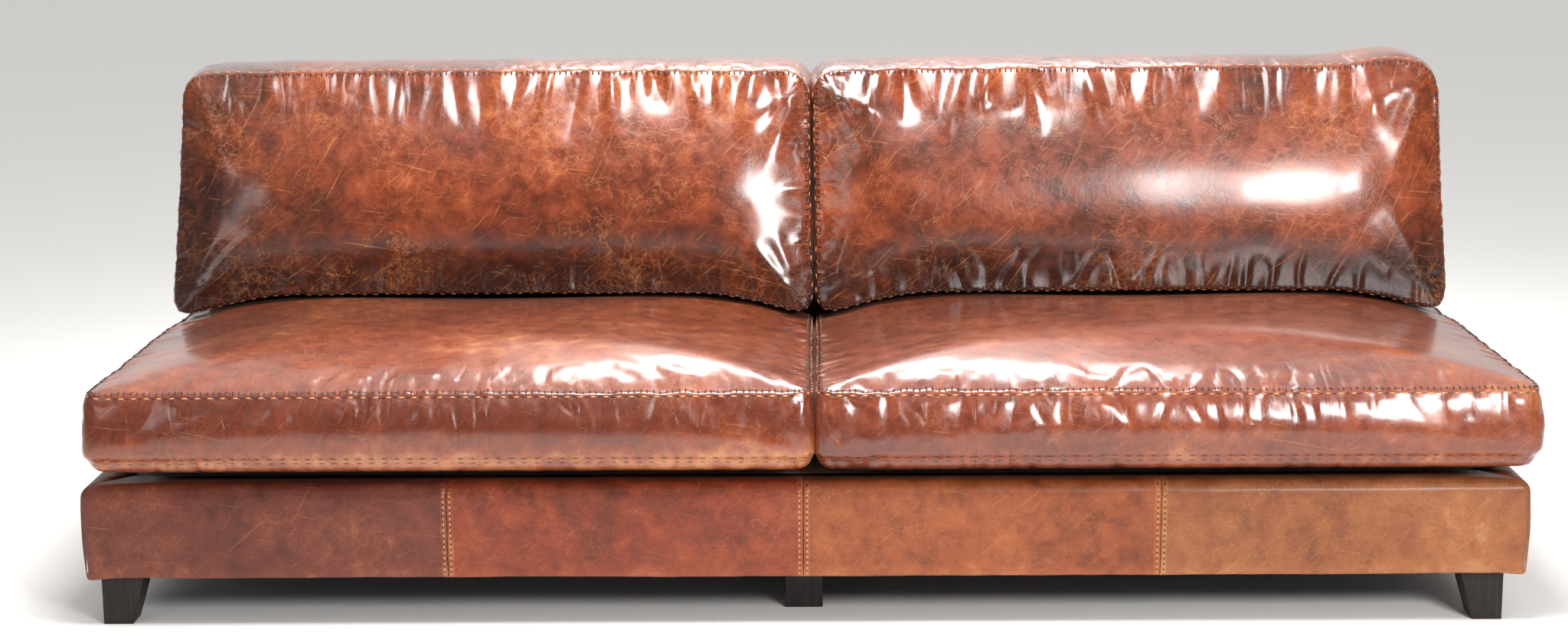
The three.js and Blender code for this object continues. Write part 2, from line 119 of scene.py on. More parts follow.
def planed_pine():
    """Bare planed pine: straight growth rings 4 to 6 mm apart, pale with darker late wood."""
    material, tree, shader, where = finish_of("planed_pine", "#c8a46e", 0.72)
    grain = put(tree, "Mapping", {"Vector": where, "Scale": (1.5, 60, 60)}).outputs["Vector"]
    rings = put(tree, "TexNoise", {"Vector": grain, "Scale": 1.0, "Detail": 4.0, "Distortion": 0.4})
    shades = {0.35: linear("#a97c48"), 0.65: linear("#d8b880")}
    tone = put(tree, "ValToRGB", {"Fac": rings.outputs["Fac"]}, shades)
    tree.links.new(tone.outputs["Color"], shader.inputs["Base Color"])
    ridge = put(tree, "Bump", {"Height": rings.outputs["Fac"], "Strength": 0.15, "Distance": 0.4 * MM})
    tree.links.new(ridge.outputs["Normal"], shader.inputs["Normal"])
    return material


timbers = [name for name in nodes if name.endswith(("_rail", "_post")) or name.startswith("corner_block")]
dress(planed_pine(), *timbers)


# ---- Webbing ----
# Woven elastic straps, stretched front to back over the seat rails and sideways across the back,
# and stapled at their ends. They spring the sofa.


def elastic_webbing():
    """Woven elastic webbing: ribs 3 mm apart, two dark tones, quite dull."""
    material, tree, shader, where = finish_of("elastic_webbing", "#4a4238", 0.88)
    ribs = put(tree, "TexWave", {"Vector": where, "Scale": 50.0, "Distortion": 0.6, "Detail": 2.0})
    shades = {0.3: linear("#332d26"), 0.8: linear("#5c5346")}
    tone = put(tree, "ValToRGB", {"Fac": ribs.outputs["Fac"]}, shades)
    tree.links.new(tone.outputs["Color"], shader.inputs["Base Color"])
    ridge = put(tree, "Bump", {"Height": ribs.outputs["Fac"], "Strength": 0.5, "Distance": 0.8 * MM})
    tree.links.new(ridge.outputs["Normal"], shader.inputs["Normal"])
    return material


dress(elastic_webbing(), *[name for name in nodes if name.startswith(("seat_web", "back_web"))])


# ---- Foot bolts ----
# Zinc-plated bolts that hold the feet up against the corner blocks.


def zinc_plating():
    """Bright zinc on steel: a cool grey metal with a faint mottle from the plating bath."""
    material, tree, shader, where = finish_of("zinc_plated_steel", "#9ea0a4", 0.34)
    shader.inputs["Metallic"].default_value = 1.0
    spangle = put(tree, "TexNoise", {"Vector": where, "Scale": 400.0, "Detail": 3.0})
    dull = put(tree, "MapRange", {"Value": spangle.outputs["Fac"], "To Min": 0.26, "To Max": 0.44})
    tree.links.new(dull.outputs["Result"], shader.inputs["Roughness"])
    return material


dress(zinc_plating(), *[name for name in nodes if name.startswith("foot_bolt")])


# ---- Wadding and deck pad ----
# Soft polyester wadding round the base and up the inside back, and the firmer pad under the seat
# cushions. Each is cut to size and glued, with rounded edges and a slightly lumpy face.


def new_piece(name, bm, material, slot, *replaced):
    """Makes an object of a bmesh, smooth, riding on the sofa, and standing for CAD nodes."""
    mesh = bpy.data.meshes.new(name)
    bm.to_mesh(mesh)
    bm.free()
    mesh.materials.append(material)
    mesh.polygons.foreach_set("use_smooth", [True] * len(mesh.polygons))
    piece = bpy.data.objects.new(name, mesh)
    scene.collection.objects.link(piece)
    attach(piece, "root")
    if replaced:
        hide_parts(*replaced)
    return piece


def cad_copy(name):
    """A bmesh of a CAD node with its triangles joined back into whole faces."""
    bm = bmesh.new()
    bm.from_mesh(nodes[name].data)
    bmesh.ops.remove_doubles(bm, verts=bm.verts, dist=0.02 * MM)
    bmesh.ops.dissolve_limit(bm, angle_limit=math.radians(0.5), verts=bm.verts, edges=bm.edges)
    return bm


def slice_up(bm, axis, places):
    """Cuts every face of a bmesh with planes across an axis."""
    across = Vector([1.0 if i == axis else 0.0 for i in range(3)])
    for place in places:
        everything = bm.verts[:] + bm.edges[:] + bm.faces[:]
        bmesh.ops.bisect_plane(bm, geom=everything, plane_co=across * place, plane_no=across, dist=0.01 * MM)


def steps(low, high, size):
    """Evenly spaced places between two ends, about size apart, without the ends."""
    count = max(1, round((high - low) / size))
    return [low + (high - low) * i / count for i in range(1, count)]


def polyester_wadding():
    """Bonded polyester wadding: off-white, fibrous and fully matt."""
    material, tree, shader, where = finish_of("polyester_wadding", "#e6e2d8", 0.95)
    fluff = put(tree, "TexNoise", {"Vector": where, "Scale": 160.0, "Detail": 6.0, "Roughness": 0.7})
    shades = {0.3: linear("#cfcabd"), 0.7: linear("#f1eee6")}
    tone = put(tree, "ValToRGB", {"Fac": fluff.outputs["Fac"]}, shades)
    tree.links.new(tone.outputs["Color"], shader.inputs["Base Color"])
    lumps = put(tree, "Bump", {"Height": fluff.outputs["Fac"], "Strength": 0.6, "Distance": 2 * MM})
    tree.links.new(lumps.outputs["Normal"], shader.inputs["Normal"])
    return material


WAD_EDGE = 3 * MM
WAD_LUMP = 0.8 * MM
wadding = polyester_wadding()
for node, fill in (("base_wadding", 0.7), ("seat_deck_pad", 0.9), ("back_wadding", 0.7)):
    bm = cad_copy(node)
    sharp = [e for e in bm.edges if e.calc_face_angle(0) > 1]
    bmesh.ops.bevel(bm, geom=sharp, offset=WAD_EDGE, segments=2, profile=0.5, affect="EDGES", material=-1)
    low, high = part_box(node)
    for axis in range(3):
        slice_up(bm, axis, steps(low[axis], high[axis], 60 * MM))
    bm.normal_update()
    for vert in bm.verts:
        vert.co -= vert.normal * WAD_LUMP * (0.5 + 0.5 * noise.noise(vert.co * 12))
    pad = new_piece(node + "_soft", bm, wadding, "padding", node)


# ---- Dust cover ----
# Black non-woven cloth stapled up under the base to keep dust out. It is stretched by hand, so it
# hangs a little between its staples.


def spunbond_cloth():
    """Spunbond polypropylene: near-black, matt, with fine bonding dimples 2 mm apart."""
    material, tree, shader, where = finish_of("spunbond_cloth", "#1c1c1f", 0.92)
    dimples = put(tree, "TexVoronoi", {"Vector": where, "Scale": 500.0}, feature="F1")
    dents = put(tree, "Bump", {"Height": dimples.outputs["Distance"], "Strength": 0.5, "Distance": 0.3 * MM})
    tree.links.new(dents.outputs["Normal"], shader.inputs["Normal"])
    return material


CLOTH_SAG = 3 * MM
low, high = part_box("dust_cover")
bm = cad_copy("dust_cover")
for axis, size in ((0, 50 * MM), (1, 50 * MM)):
    slice_up(bm, axis, steps(low[axis], high[axis], size))
for vert in bm.verts:
    across = math.sin(math.pi * (vert.co.x - low.x) / (high.x - low.x))
    along = math.sin(math.pi * (vert.co.y - low.y) / (high.y - low.y))
    ripple = 0.8 + 0.4 * noise.noise(vert.co * 6)
    vert.co.z -= CLOTH_SAG * ripple * max(across, 0) ** 0.5 * max(along, 0) ** 0.5
dust_cloth = new_piece("dust_cloth_sheet", bm, spunbond_cloth(), "dust_cloth", "dust_cover")


# ---- Feet ----
# Six blocks of beech stained a dark espresso brown. The corner ones taper on their two inner
# sides, and every edge is eased with sandpaper.


def espresso_stain():
    """Stained and lacquered beech: almost black brown, a fine upright grain and a satin sheen."""
    material, tree, shader, where = finish_of("espresso_stained_beech", "#33292a", 0.5)
    along = put(tree, "Mapping", {"Vector": where, "Scale": (300, 300, 14)}).outputs["Vector"]
    pores = put(tree, "TexNoise", {"Vector": along, "Scale": 1.0, "Detail": 5.0, "Roughness": 0.6})
    shades = {0.3: linear("#160f0f"), 0.55: linear("#231a1a"), 0.75: linear("#312525")}
    tone = put(tree, "ValToRGB", {"Fac": pores.outputs["Fac"]}, shades)
    tree.links.new(tone.outputs["Color"], shader.inputs["Base Color"])
    groove = put(tree, "Bump", {"Height": pores.outputs["Fac"], "Strength": 0.25, "Distance": 0.3 * MM})
    tree.links.new(groove.outputs["Normal"], shader.inputs["Normal"])
    shader.inputs["Specular IOR Level"].default_value = 0.3
    return material


FOOT_EDGE = 1.6 * MM
stain = espresso_stain()
for node in [name for name in nodes if name.startswith("foot_") and "bolt" not in name]:
    bm = cad_copy(node)
    outer = [e for e in bm.edges if e.calc_length() > 40 * MM and e.calc_face_angle(0) > 1]
    bmesh.ops.bevel(bm, geom=outer, offset=FOOT_EDGE, segments=2, profile=0.5, affect="EDGES", material=-1)
    foot = new_piece(node + "_beech", bm, stain, "stained_wood", node)
    mod = foot.modifiers.new("crisp faces", "WEIGHTED_NORMAL")
    mod.keep_sharp = True


# ---- Leather of the base ----
# Four panels across the front and one down each side, sewn edge to edge, pulled over wadding and
# stapled underneath. Waxed pull-up hide: it pales wherever it is rubbed, bent or scratched.


# The needle holes in the leather are drawn for the cushions' heavy seams: one every PITCH, ROW away.
PITCH = 21 * MM
ROW = 5.5 * MM
SEAM_REACH = 14 * MM


def waxed_leather(name, seed, dark, deep, mid, warm, pale, gloss=0.3, wax=0.9, veins=0.6, scars=0.4):
    """Pull-up leather: cloudy tan to dark brown, pale veins and scratches, and a wax gloss.

    It reads five attributes of the piece. rubbed is for edges worn pale, and a second is painted shade
    that darkens it. from_seam is 1 on a seam and 0 past SEAM_REACH. along_seam is the metres run along it,
    and inward the metres in from it, which the puckers follow.
    """
    material, tree, shader, where = finish_of(name, mid, gloss)
    offset = (seed * 3.7, seed * 1.9, seed * 2.3)
    here = put(tree, "Mapping", {"Vector": where, "Location": offset}).outputs["Vector"]
    # Clouds 200 mm across, and mottling 40 mm across where the wax has moved about.
    cloud = put(tree, "TexNoise", {"Vector": here, "Scale": 4.0, "Detail": 2.0, "Distortion": 0.4})
    mottle = put(
        tree,
        "TexNoise",
        {"Vector": here, "Scale": 26.0, "Detail": 6.0, "Roughness": 0.64, "Distortion": 0.35},
    )
    both = put(tree, "Mix", {0: 0.55, 2: cloud.outputs["Fac"], 3: mottle.outputs["Fac"]}).outputs[0]
    # Painted shade: an attribute of the piece darkens the tone where shade falls.
    painted_shade_fac = put(tree, "Attribute", attribute_name="grimy").outputs["Fac"]
    rub = put(tree, "Attribute", attribute_name="rubbed").outputs["Fac"]
    worn = put(tree, "Math", {0: rub, 1: 0.16, 2: both}, operation="MULTIPLY_ADD").outputs[0]
    level = put(tree, "Math", {0: painted_shade_fac, 1: -0.17, 2: worn}, operation="MULTIPLY_ADD").outputs[0]
    shades = {0.26: linear(dark), 0.41: linear(deep), 0.5: linear(mid), 0.6: linear(warm), 0.78: linear(pale)}
    tone = put(tree, "ValToRGB", {"Fac": level}, shades).outputs["Color"]
    # Veins: thin lines along the middle value of a twisted noise, broken up by the clouds.
    twist = put(
        tree,
        "TexNoise",
        {"Vector": here, "Scale": 19.0, "Detail": 5.0, "Roughness": 0.66, "Distortion": 0.6},
    ).outputs["Fac"]
    off_middle = put(tree, "Math", {0: twist, 1: 0.5}, operation="SUBTRACT").outputs[0]
    near_middle = put(tree, "Math", {0: off_middle}, operation="ABSOLUTE").outputs[0]
    thin = put(tree, "MapRange", {"Value": near_middle, "From Max": 0.018, "To Min": 1.0, "To Max": 0.0})
    patches = put(tree, "TexNoise", {"Vector": here, "Scale": 7.0, "Detail": 2.0}).outputs["Fac"]
    where_veined = put(tree, "MapRange", {"Value": patches, "From Min": 0.42, "From Max": 0.68})
    veined = put(
        tree,
        "Math",
        {0: thin.outputs["Result"], 1: where_veined.outputs["Result"]},
        operation="MULTIPLY",
    ).outputs[0]
    marks = put(tree, "Math", {0: veined, 1: veins}, operation="MULTIPLY").outputs[0]
    # Crackle: cells 22 mm across whose edges have gone pale where the hide was creased.
    bent = put(tree, "Mix", {0: 0.035, 4: here, 5: mottle.outputs["Color"]}, data_type="VECTOR").outputs[1]
    cells = put(tree, "TexVoronoi", {"Vector": bent, "Scale": 46.0}, feature="DISTANCE_TO_EDGE")
    edge = put(tree, "MapRange", {"Value": cells.outputs["Distance"], "From Max": 0.10}).outputs["Result"]
    split = put(tree, "Math", {0: 1.0, 1: edge}, operation="SUBTRACT").outputs[0]
    creased = put(
        tree,
        "MapRange",
        {"Value": cloud.outputs["Fac"], "From Min": 0.48, "From Max": 0.66, "To Max": 0.5},
    )
    split = put(tree, "Math", {0: split, 1: creased.outputs["Result"]}, operation="MULTIPLY").outputs[0]
    marks = put(tree, "Math", {0: split, 1: veins, 2: marks}, operation="MULTIPLY_ADD").outputs[0]
    # Scratches: sheets of noise a few millimetres thick and 60 to 190 mm long, that lie at odd angles.
    for turn, thick, long, rarity in (
        ((0.3, 0.5, 0.2), 3.5 * MM, 150 * MM, 0.71),
        ((1.1, 0.6, 0.9), 3 * MM, 110 * MM, 0.70),
        ((0.2, 1.2, 2.1), 4 * MM, 190 * MM, 0.72),
        ((2.4, 0.9, 0.4), 2.5 * MM, 70 * MM, 0.68),
        ((0.7, 2.0, 1.3), 3 * MM, 60 * MM, 0.69),
    ):
        across = put(
            tree,
            "Mapping",
            {"Vector": here, "Rotation": turn, "Scale": (thick, long, long)},
            vector_type="TEXTURE",
        ).outputs["Vector"]
        fine = put(tree, "TexNoise", {"Vector": across, "Scale": 1.0, "Detail": 1.0, "Distortion": 0.7})
        rare = {"Value": fine.outputs["Fac"], "From Min": rarity, "From Max": rarity + 0.07}
        line = put(tree, "MapRange", rare)
        marks = put(
            tree,
            "Math",
            {0: line.outputs["Result"], 1: scars, 2: marks},
            operation="MULTIPLY_ADD",
        ).outputs[0]
    marks = put(tree, "Math", {0: marks, 1: 0.0}, operation="MAXIMUM", use_clamp=True).outputs[0]
    paled = put(tree, "Math", {0: marks, 1: 0.6}, operation="MULTIPLY").outputs[0]
    coloured = put(tree, "Mix", {0: paled, 6: tone, 7: linear(pale)}, data_type="RGBA").outputs[2]
    # Specks 3 mm across stand for the pores of the grain.
    specks = put(tree, "TexNoise", {"Vector": here, "Scale": 300.0, "Detail": 2.0}).outputs["Fac"]
    speckled = put(
        tree,
        "MapRange",
        {"Value": specks, "From Min": 0.3, "From Max": 0.7, "To Min": 0.86, "To Max": 1.1},
    )
    final = put(
        tree,
        "Mix",
        {0: 1.0, 6: coloured, 7: speckled.outputs["Result"]},
        data_type="RGBA",
        blend_type="MULTIPLY",
    ).outputs[2]
    # Fine puckers between the folds that run in from the seams, deep here and there.
    inward = put(tree, "Attribute", attribute_name="inward").outputs["Fac"]
    run = put(tree, "Attribute", attribute_name="along_seam").outputs["Fac"]
    sideways = put(tree, "SeparateXYZ", {"Vector": here}).outputs["X"]
    spread = put(
        tree,
        "CombineXYZ",
        {
            "X": put(tree, "Math", {0: run, 1: 23.0}, operation="MULTIPLY").outputs[0],
            "Y": put(tree, "Math", {0: inward, 1: 8.0}, operation="MULTIPLY").outputs[0],
            "Z": put(tree, "Math", {0: sideways, 1: 7.0}, operation="MULTIPLY").outputs[0],
        },
    ).outputs["Vector"]
    pull = put(tree, "TexNoise", {"Vector": spread, "Scale": 1.0, "Detail": 1.5, "Distortion": 0.5})
    off_fold = put(tree, "Math", {0: pull.outputs["Fac"], 1: 0.5}, operation="SUBTRACT").outputs[0]
    off_fold = put(tree, "Math", {0: off_fold}, operation="ABSOLUTE").outputs[0]
    pillow = put(tree, "MapRange", {"Value": off_fold, "From Max": 0.15}, interpolation_type="SMOOTHSTEP")
    close = put(
        tree,
        "MapRange",
        {"Value": inward, "From Min": 0.015, "From Max": 0.12, "To Min": 1.0, "To Max": 0.0},
        interpolation_type="SMOOTHSTEP",
    ).outputs["Result"]
    taut = put(tree, "MapRange", {"Value": patches, "From Min": 0.34, "From Max": 0.54, "To Min": 0.15})
    depth = put(tree, "Math", {0: close, 1: taut.outputs["Result"]}, operation="MULTIPLY").outputs[0]
    valley = put(tree, "Math", {0: 1.0, 1: pillow.outputs["Result"]}, operation="SUBTRACT").outputs[0]
    valley = put(tree, "Math", {0: valley, 1: depth}, operation="MULTIPLY").outputs[0]
    # Needle holes pull the leather down between the stitches, and a line runs along the seam: both dent the
    # leather, and painted shade darkens them.
    away = put(tree, "Attribute", attribute_name="from_seam").outputs["Fac"]
    off_row = put(tree, "Math", {0: away, 1: 1 - ROW / SEAM_REACH}, operation="SUBTRACT").outputs[0]
    off_row = put(tree, "Math", {0: off_row}, operation="ABSOLUTE").outputs[0]
    on_row = put(tree, "MapRange", {"Value": off_row, "From Max": 0.13, "To Min": 1.0, "To Max": 0.0})
    turns = put(tree, "Math", {0: run, 1: 2 * math.pi / PITCH}, operation="MULTIPLY").outputs[0]
    beat = put(tree, "Math", {0: turns}, operation="COSINE").outputs[0]
    hole = put(tree, "MapRange", {"Value": beat, "From Min": 0.0, "From Max": 0.9}).outputs["Result"]
    holes = put(tree, "Math", {0: hole, 1: on_row.outputs["Result"]}, operation="MULTIPLY").outputs[0]
    line = put(tree, "MapRange", {"Value": away, "From Min": 0.95, "From Max": 1.0}).outputs["Result"]
    sunk = put(tree, "Math", {0: line, 1: 0.8, 2: holes}, operation="MULTIPLY_ADD", use_clamp=True).outputs[0]
    shade = put(tree, "Math", {0: sunk, 1: 0.75}, operation="MULTIPLY").outputs[0]
    final = put(tree, "Mix", {0: shade, 6: final, 7: linear("#24100b")}, data_type="RGBA").outputs[2]
    tree.links.new(final, shader.inputs["Base Color"])
    # The wax is uneven: the gloss comes and goes with the mottling and is lost in the marks.
    sheen = put(
        tree,
        "MapRange",
        {
            "Value": mottle.outputs["Fac"],
            "From Min": 0.3,
            "From Max": 0.7,
            "To Min": gloss - 0.07,
            "To Max": gloss + 0.12,
        },
    ).outputs["Result"]
    rough = put(tree, "Math", {0: marks, 1: 0.12, 2: sheen}, operation="MULTIPLY_ADD").outputs[0]
    tree.links.new(rough, shader.inputs["Roughness"])
    shader.inputs["Coat Weight"].default_value = wax
    shader.inputs["Coat Roughness"].default_value = 0.17
    shader.inputs["Specular IOR Level"].default_value = 0.32
    shader.inputs["Sheen Weight"].default_value = wax * 0.08
    shader.inputs["Sheen Roughness"].default_value = 0.35
    shader.inputs["Sheen Tint"].default_value = linear("#ffdccb")
    # Under the puckers the cells of the crackle are shallow creases, over wrinkles 26 mm across.
    fold = put(tree, "Bump", {"Height": valley, "Strength": 1.0, "Distance": 2.5 * MM}, invert=True)
    crease = put(
        tree,
        "Bump",
        {"Height": edge, "Strength": 0.2, "Distance": 0.5 * MM, "Normal": fold.outputs["Normal"]},
    )
    swells = put(
        tree,
        "TexNoise",
        {"Vector": here, "Scale": 38.0, "Detail": 2.0, "Roughness": 0.45, "Distortion": 0.2},
    )
    wrinkle = put(
        tree,
        "Bump",
        {
            "Height": swells.outputs["Fac"],
            "Strength": 0.4,
            "Distance": 2.4 * MM,
            "Normal": crease.outputs["Normal"],
        },
    )
    grain = put(
        tree,
        "Bump",
        {"Height": specks, "Strength": 0.25, "Distance": 0.35 * MM, "Normal": wrinkle.outputs["Normal"]},
    )
    dents = put(
        tree,
        "Bump",
        {"Height": sunk, "Strength": 1.0, "Distance": 1.6 * MM, "Normal": grain.outputs["Normal"]},
        invert=True,
    )
    tree.links.new(dents.outputs["Normal"], shader.inputs["Normal"])
    return material


def mark(mesh, name, values):
    """Keeps one number for each vertex of a mesh, for its material to read."""
    mesh.attributes.new(name, "FLOAT", "POINT").data.foreach_set("value", values)


def smooth_step(value):
    """Holds a value between 0 and 1, and eases it at both ends."""
    value = min(max(value, 0.0), 1.0)
    return value * value * (3 - 2 * value)


base_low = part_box("base_cover_front_1")[0]
base_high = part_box("base_cover_front_4")[1]
SEAMS = [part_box(f"base_cover_front_{i}")[1].x for i in (1, 2, 3)]
BASE_CORNER = 13 * MM
# The flaps of a seam lie doubled under a BAND on each side of it, sewn down BASE_ROW away.
BAND = 9.5 * MM
BASE_ROW = 6.3 * MM
BASE_PITCH = 9.7 * MM
SEAM_GROOVE = 1.3 * MM
BAND_RISE = 0.9 * MM
# A panel's back follows its face to BASE_SKIN in, its foot waves over BASE_LIP, and the padding is
# drawn flat over SEAM_DRAW beside a seam.
BASE_SKIN = 40 * MM
BASE_LIP = 35 * MM
SEAM_DRAW = 60 * MM


def soft_base(co):
    """Where a point of the base's leather really lies: rounded, puffed and drawn in at the seams."""
    point = co.copy()
    left, right, front = base_low.x, base_high.x, base_low.y
    middle = (left + right) / 2
    in_x = min(co.x - left, right - co.x)
    in_y = co.y - front
    if in_x < BASE_CORNER and in_y < BASE_CORNER:
        dx, dy = BASE_CORNER - in_x, BASE_CORNER - in_y
        scale = max(dx, dy) / max(math.hypot(dx, dy), 1e-9)
        side = 1 if co.x > middle else -1
        point.x = co.x + side * (dx * scale - dx)
        point.y = co.y - (dy * scale - dy)
    up = (co.z - base_low.z) / (base_high.z - base_low.z)
    belly = math.sin(math.pi * min(max(up, 0), 1)) ** 0.8
    to_seam = min(abs(co.x - x) for x in SEAMS)
    tight = smooth_step((min(to_seam, abs(co.x - left), abs(co.x - right)) - BAND) / SEAM_DRAW)
    lumps = noise.noise(Vector((co.x * 9, co.y * 9, co.z * 14)))
    if in_y < BASE_SKIN:
        shallow = 1 - smooth_step(in_y / BASE_SKIN)
        point.y -= shallow * belly * (1.5 + 2.5 * tight + 1.6 * lumps) * MM
        point.y += shallow * (SEAM_GROOVE if to_seam < 1 * MM else -BAND_RISE if to_seam < BAND else 0)
    if in_x < BASE_SKIN and in_y > BASE_CORNER * 0.5:
        shallow = 1 - smooth_step(in_x / BASE_SKIN)
        side = 1 if co.x > middle else -1
        point.x += side * shallow * belly * (4.5 + 1.6 * lumps) * MM
    lip = 1 - smooth_step((co.z - base_low.z) / BASE_LIP)
    outer = 1 - smooth_step(min(in_x, in_y) / (14 * MM))
    wave = 1.8 * noise.noise(Vector((co.x * 7, co.y * 7, 3.3))) + 0.8 * noise.noise(co * 31)
    ear = math.exp(-((max(in_x, 0) / (30 * MM)) ** 2)) * math.exp(-((max(in_y, 0) / (30 * MM)) ** 2))
    point.z += lip * outer * (wave - 4.0 * ear - 0.8) * MM
    return point


def cuts_by(seam):
    """Where panels are cut to give a seam its groove, and the band on each side of it an edge."""
    return [seam + d for d in (-BAND - 1.5 * MM, -BAND, -1.2 * MM, 1.2 * MM, BAND, BAND + 1.5 * MM)]


def band_wear(from_seam):
    """Pale wear on the doubled band beside a seam."""
    return [0.7 if gap < BAND * 1.05 else 0.0 for gap in from_seam]


def mark_seams(mesh, from_seam, up):
    """Marks a panel's seams, with the pitch and row of the base's stitches and a faint painted shade line."""
    faint = 0.965
    shrunk = [gap * ROW / BASE_ROW for gap in from_seam]
    mark(mesh, "from_seam", [faint - min(gap / SEAM_REACH, faint) for gap in shrunk])
    mark(mesh, "along_seam", [rise * PITCH / BASE_PITCH for rise in up])
    # A metre in from any seam there are no puckers.
    mark(mesh, "inward", [1.0] * len(from_seam))


def cover_base(name, material, x_cuts, y_cuts, z_cuts, node):
    """A leather panel of the base, from its CAD solid, cut fine enough to be moved about."""
    bm = cad_copy(node)
    for axis, cuts in enumerate((x_cuts, y_cuts, z_cuts)):
        slice_up(bm, axis, cuts)
    bmesh.ops.triangulate(bm, faces=[f for f in bm.faces if len(f.verts) > 4])
    for vert in bm.verts:
        vert.co = soft_base(vert.co)
    panel = new_piece(name, bm, material, "leather_base", node)
    up = [(v.co.z - base_low.z) / (base_high.z - base_low.z) for v in panel.data.vertices]
    from_seam = [min(abs(v.co.x - x) for x in SEAMS) for v in panel.data.vertices]
    edge = [0.5 * smooth_step((0.16 - u) / 0.16) + 0.3 * smooth_step((u - 0.86) / 0.1) for u in up]
    mark(panel.data, "rubbed", [b + e for b, e in zip(band_wear(from_seam), edge)])
    # Painted shadow: the top of the panel is darkened under the overhang of the seat cushions.
    mark(panel.data, "grimy", [0.3 * smooth_step((u - 0.8) / 0.2) for u in up])
    mark_seams(panel.data, from_seam, [v.co.z - base_low.z for v in panel.data.vertices])


corner_cuts = [BASE_CORNER * f for f in (0.15, 0.3, 0.5, 0.75, 1.0)]
seam_cuts = [cut for seam in SEAMS for cut in cuts_by(seam)]
x_ends = [base_low.x + c for c in corner_cuts] + [base_high.x - c for c in corner_cuts]
y_ends = [base_low.y + c for c in corner_cuts]
z_fine = steps(base_low.z, base_high.z, 13 * MM)
base_tones = (
    ("#2e110a", "#512217", "#602a1c", "#6e3524", "#9c6040"),
    ("#36130a", "#652814", "#7b3219", "#8b3f22", "#ab6a44"),
    ("#461d0c", "#743718", "#884421", "#96512a", "#b4794c"),
    ("#4f260f", "#7a4222", "#884e2a", "#955a33", "#b58155"),
)
for i, shades in enumerate(base_tones, 1):
    low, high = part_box(f"base_cover_front_{i}")
    hide = waxed_leather(f"waxed_leather_base_{i}", 4 + i, *shades, gloss=0.45, wax=0.15, veins=0.45)
    cuts = steps(low.x, high.x, 12 * MM) + [c for c in seam_cuts + x_ends if low.x < c < high.x]
    cover_base(f"base_panel_{i}", hide, sorted(cuts), [], z_fine, f"base_cover_front_{i}")
for side, shades, seed in (("left", base_tones[0], 11), ("right", base_tones[3], 12)):
    low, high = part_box(f"base_cover_{side}")
    hide = waxed_leather(f"waxed_leather_base_{side}", seed, *shades, gloss=0.45, wax=0.15, veins=0.45)
    cuts = sorted(steps(low.y, high.y, 14 * MM) + y_ends)
    cover_base(f"base_panel_{side}", hide, [], cuts, z_fine, f"base_cover_{side}")


# ---- Stitching of the base ----
# Waxed thread, sewn through the bands on both sides of each seam by machine. It holds the flaps
# underneath down and shows as two rows of short tan stitches.

STITCH_WIDTH = 3.4 * MM
STITCH_HEIGHT = 2.6 * MM


def waxed_thread(name, colour):
    """Thick waxed polyester thread: rounded, with a soft shine on every stitch."""
    material, tree, shader, where = finish_of(name, colour, 0.42)
    ply = put(tree, "TexNoise", {"Vector": where, "Scale": 900.0, "Detail": 2.0})
    tone = put(tree, "HueSaturation", {"Value": 1.0, "Color": linear(colour)})
    vary = put(
        tree,
        "MapRange",
        {"Value": ply.outputs["Fac"], "From Min": 0.3, "From Max": 0.7, "To Min": 0.7, "To Max": 1.25},
    )
    tree.links.new(vary.outputs["Result"], tone.inputs["Value"])
    tree.links.new(tone.outputs["Color"], shader.inputs["Base Color"])
    return material


def skin_of(mesh):
    """The surface of a mesh, for finding the nearest point on it."""
    return BVHTree.FromPolygons([v.co for v in mesh.vertices], [p.vertices for p in mesh.polygons])


def sew(name, ends, surface, thread, slot):
    """Lays one stitch between each pair of points on a surface, and makes them all one piece."""
    bm = bmesh.new()
    lying = Matrix.Rotation(math.pi / 2, 4, "Y")
    bmesh.ops.create_uvsphere(bm, u_segments=6, v_segments=4, radius=1.0, matrix=lying)
    bmesh.ops.scale(bm, vec=(0.5, STITCH_WIDTH / 2, STITCH_HEIGHT / 2), verts=bm.verts)
    pattern = bpy.data.meshes.new("stitch")
    bm.to_mesh(pattern)
    bm.clear()
    rest = [v.co.copy() for v in pattern.vertices]
    draw = random.Random(name)
    for start, end in ends:
        spot, normal, _, _ = surface.find_nearest((start + end) / 2)
        forward = (end - start) - normal * normal.dot(end - start)
        long = forward.length * draw.uniform(0.94, 1.06)
        forward.normalize()
        forward.rotate(Matrix.Rotation(draw.uniform(-0.1, 0.1), 3, normal))
        side = normal.cross(forward)
        turn = Matrix((forward * long, side, normal)).transposed().to_4x4()
        place = Matrix.Translation(spot + normal * 0.1 * MM) @ turn
        for vert, co in zip(pattern.vertices, rest):
            vert.co = place @ co
        bm.from_mesh(pattern)
    bpy.data.meshes.remove(pattern)
    return new_piece(name, bm, thread, slot)


def sew_seam(name, seam, outside, foot, numbers, panels):
    """Sews down both bands of the upright seam at X seam, on the face nearest to Y outside."""
    ends = []
    for side, panel in zip((-1, 1), panels):
        face = skin_of(panel)
        for number in numbers:
            heights = [foot + (number + f) * BASE_PITCH for f in (0.15, 0.85)]
            row = [Vector((seam + side * BASE_ROW, outside, height)) for height in heights]
            ends.append([face.find_nearest(point)[0] for point in row])
    both = bmesh.new()
    for panel in panels:
        both.from_mesh(panel)
    sew(name, ends, BVHTree.FromBMesh(both), thread, "leather_base")
    both.free()


thread = waxed_thread("waxed_thread", "#b98058")
for number, seam in enumerate(SEAMS, 1):
    fronts = [bpy.data.objects[f"base_panel_{i}"].data for i in (number, number + 1)]
    numbers = range(int((base_high.z - base_low.z) / BASE_PITCH))
    sew_seam(f"base_stitching_{number}", seam, base_low.y - 10 * MM, base_low.z, numbers, fronts)


# ---- Leather of the back frame ----
# The inside back goes up behind the cushions and over the top rail. Two panels close the outside,
# with a seam down the middle, and a cheek covers each end.

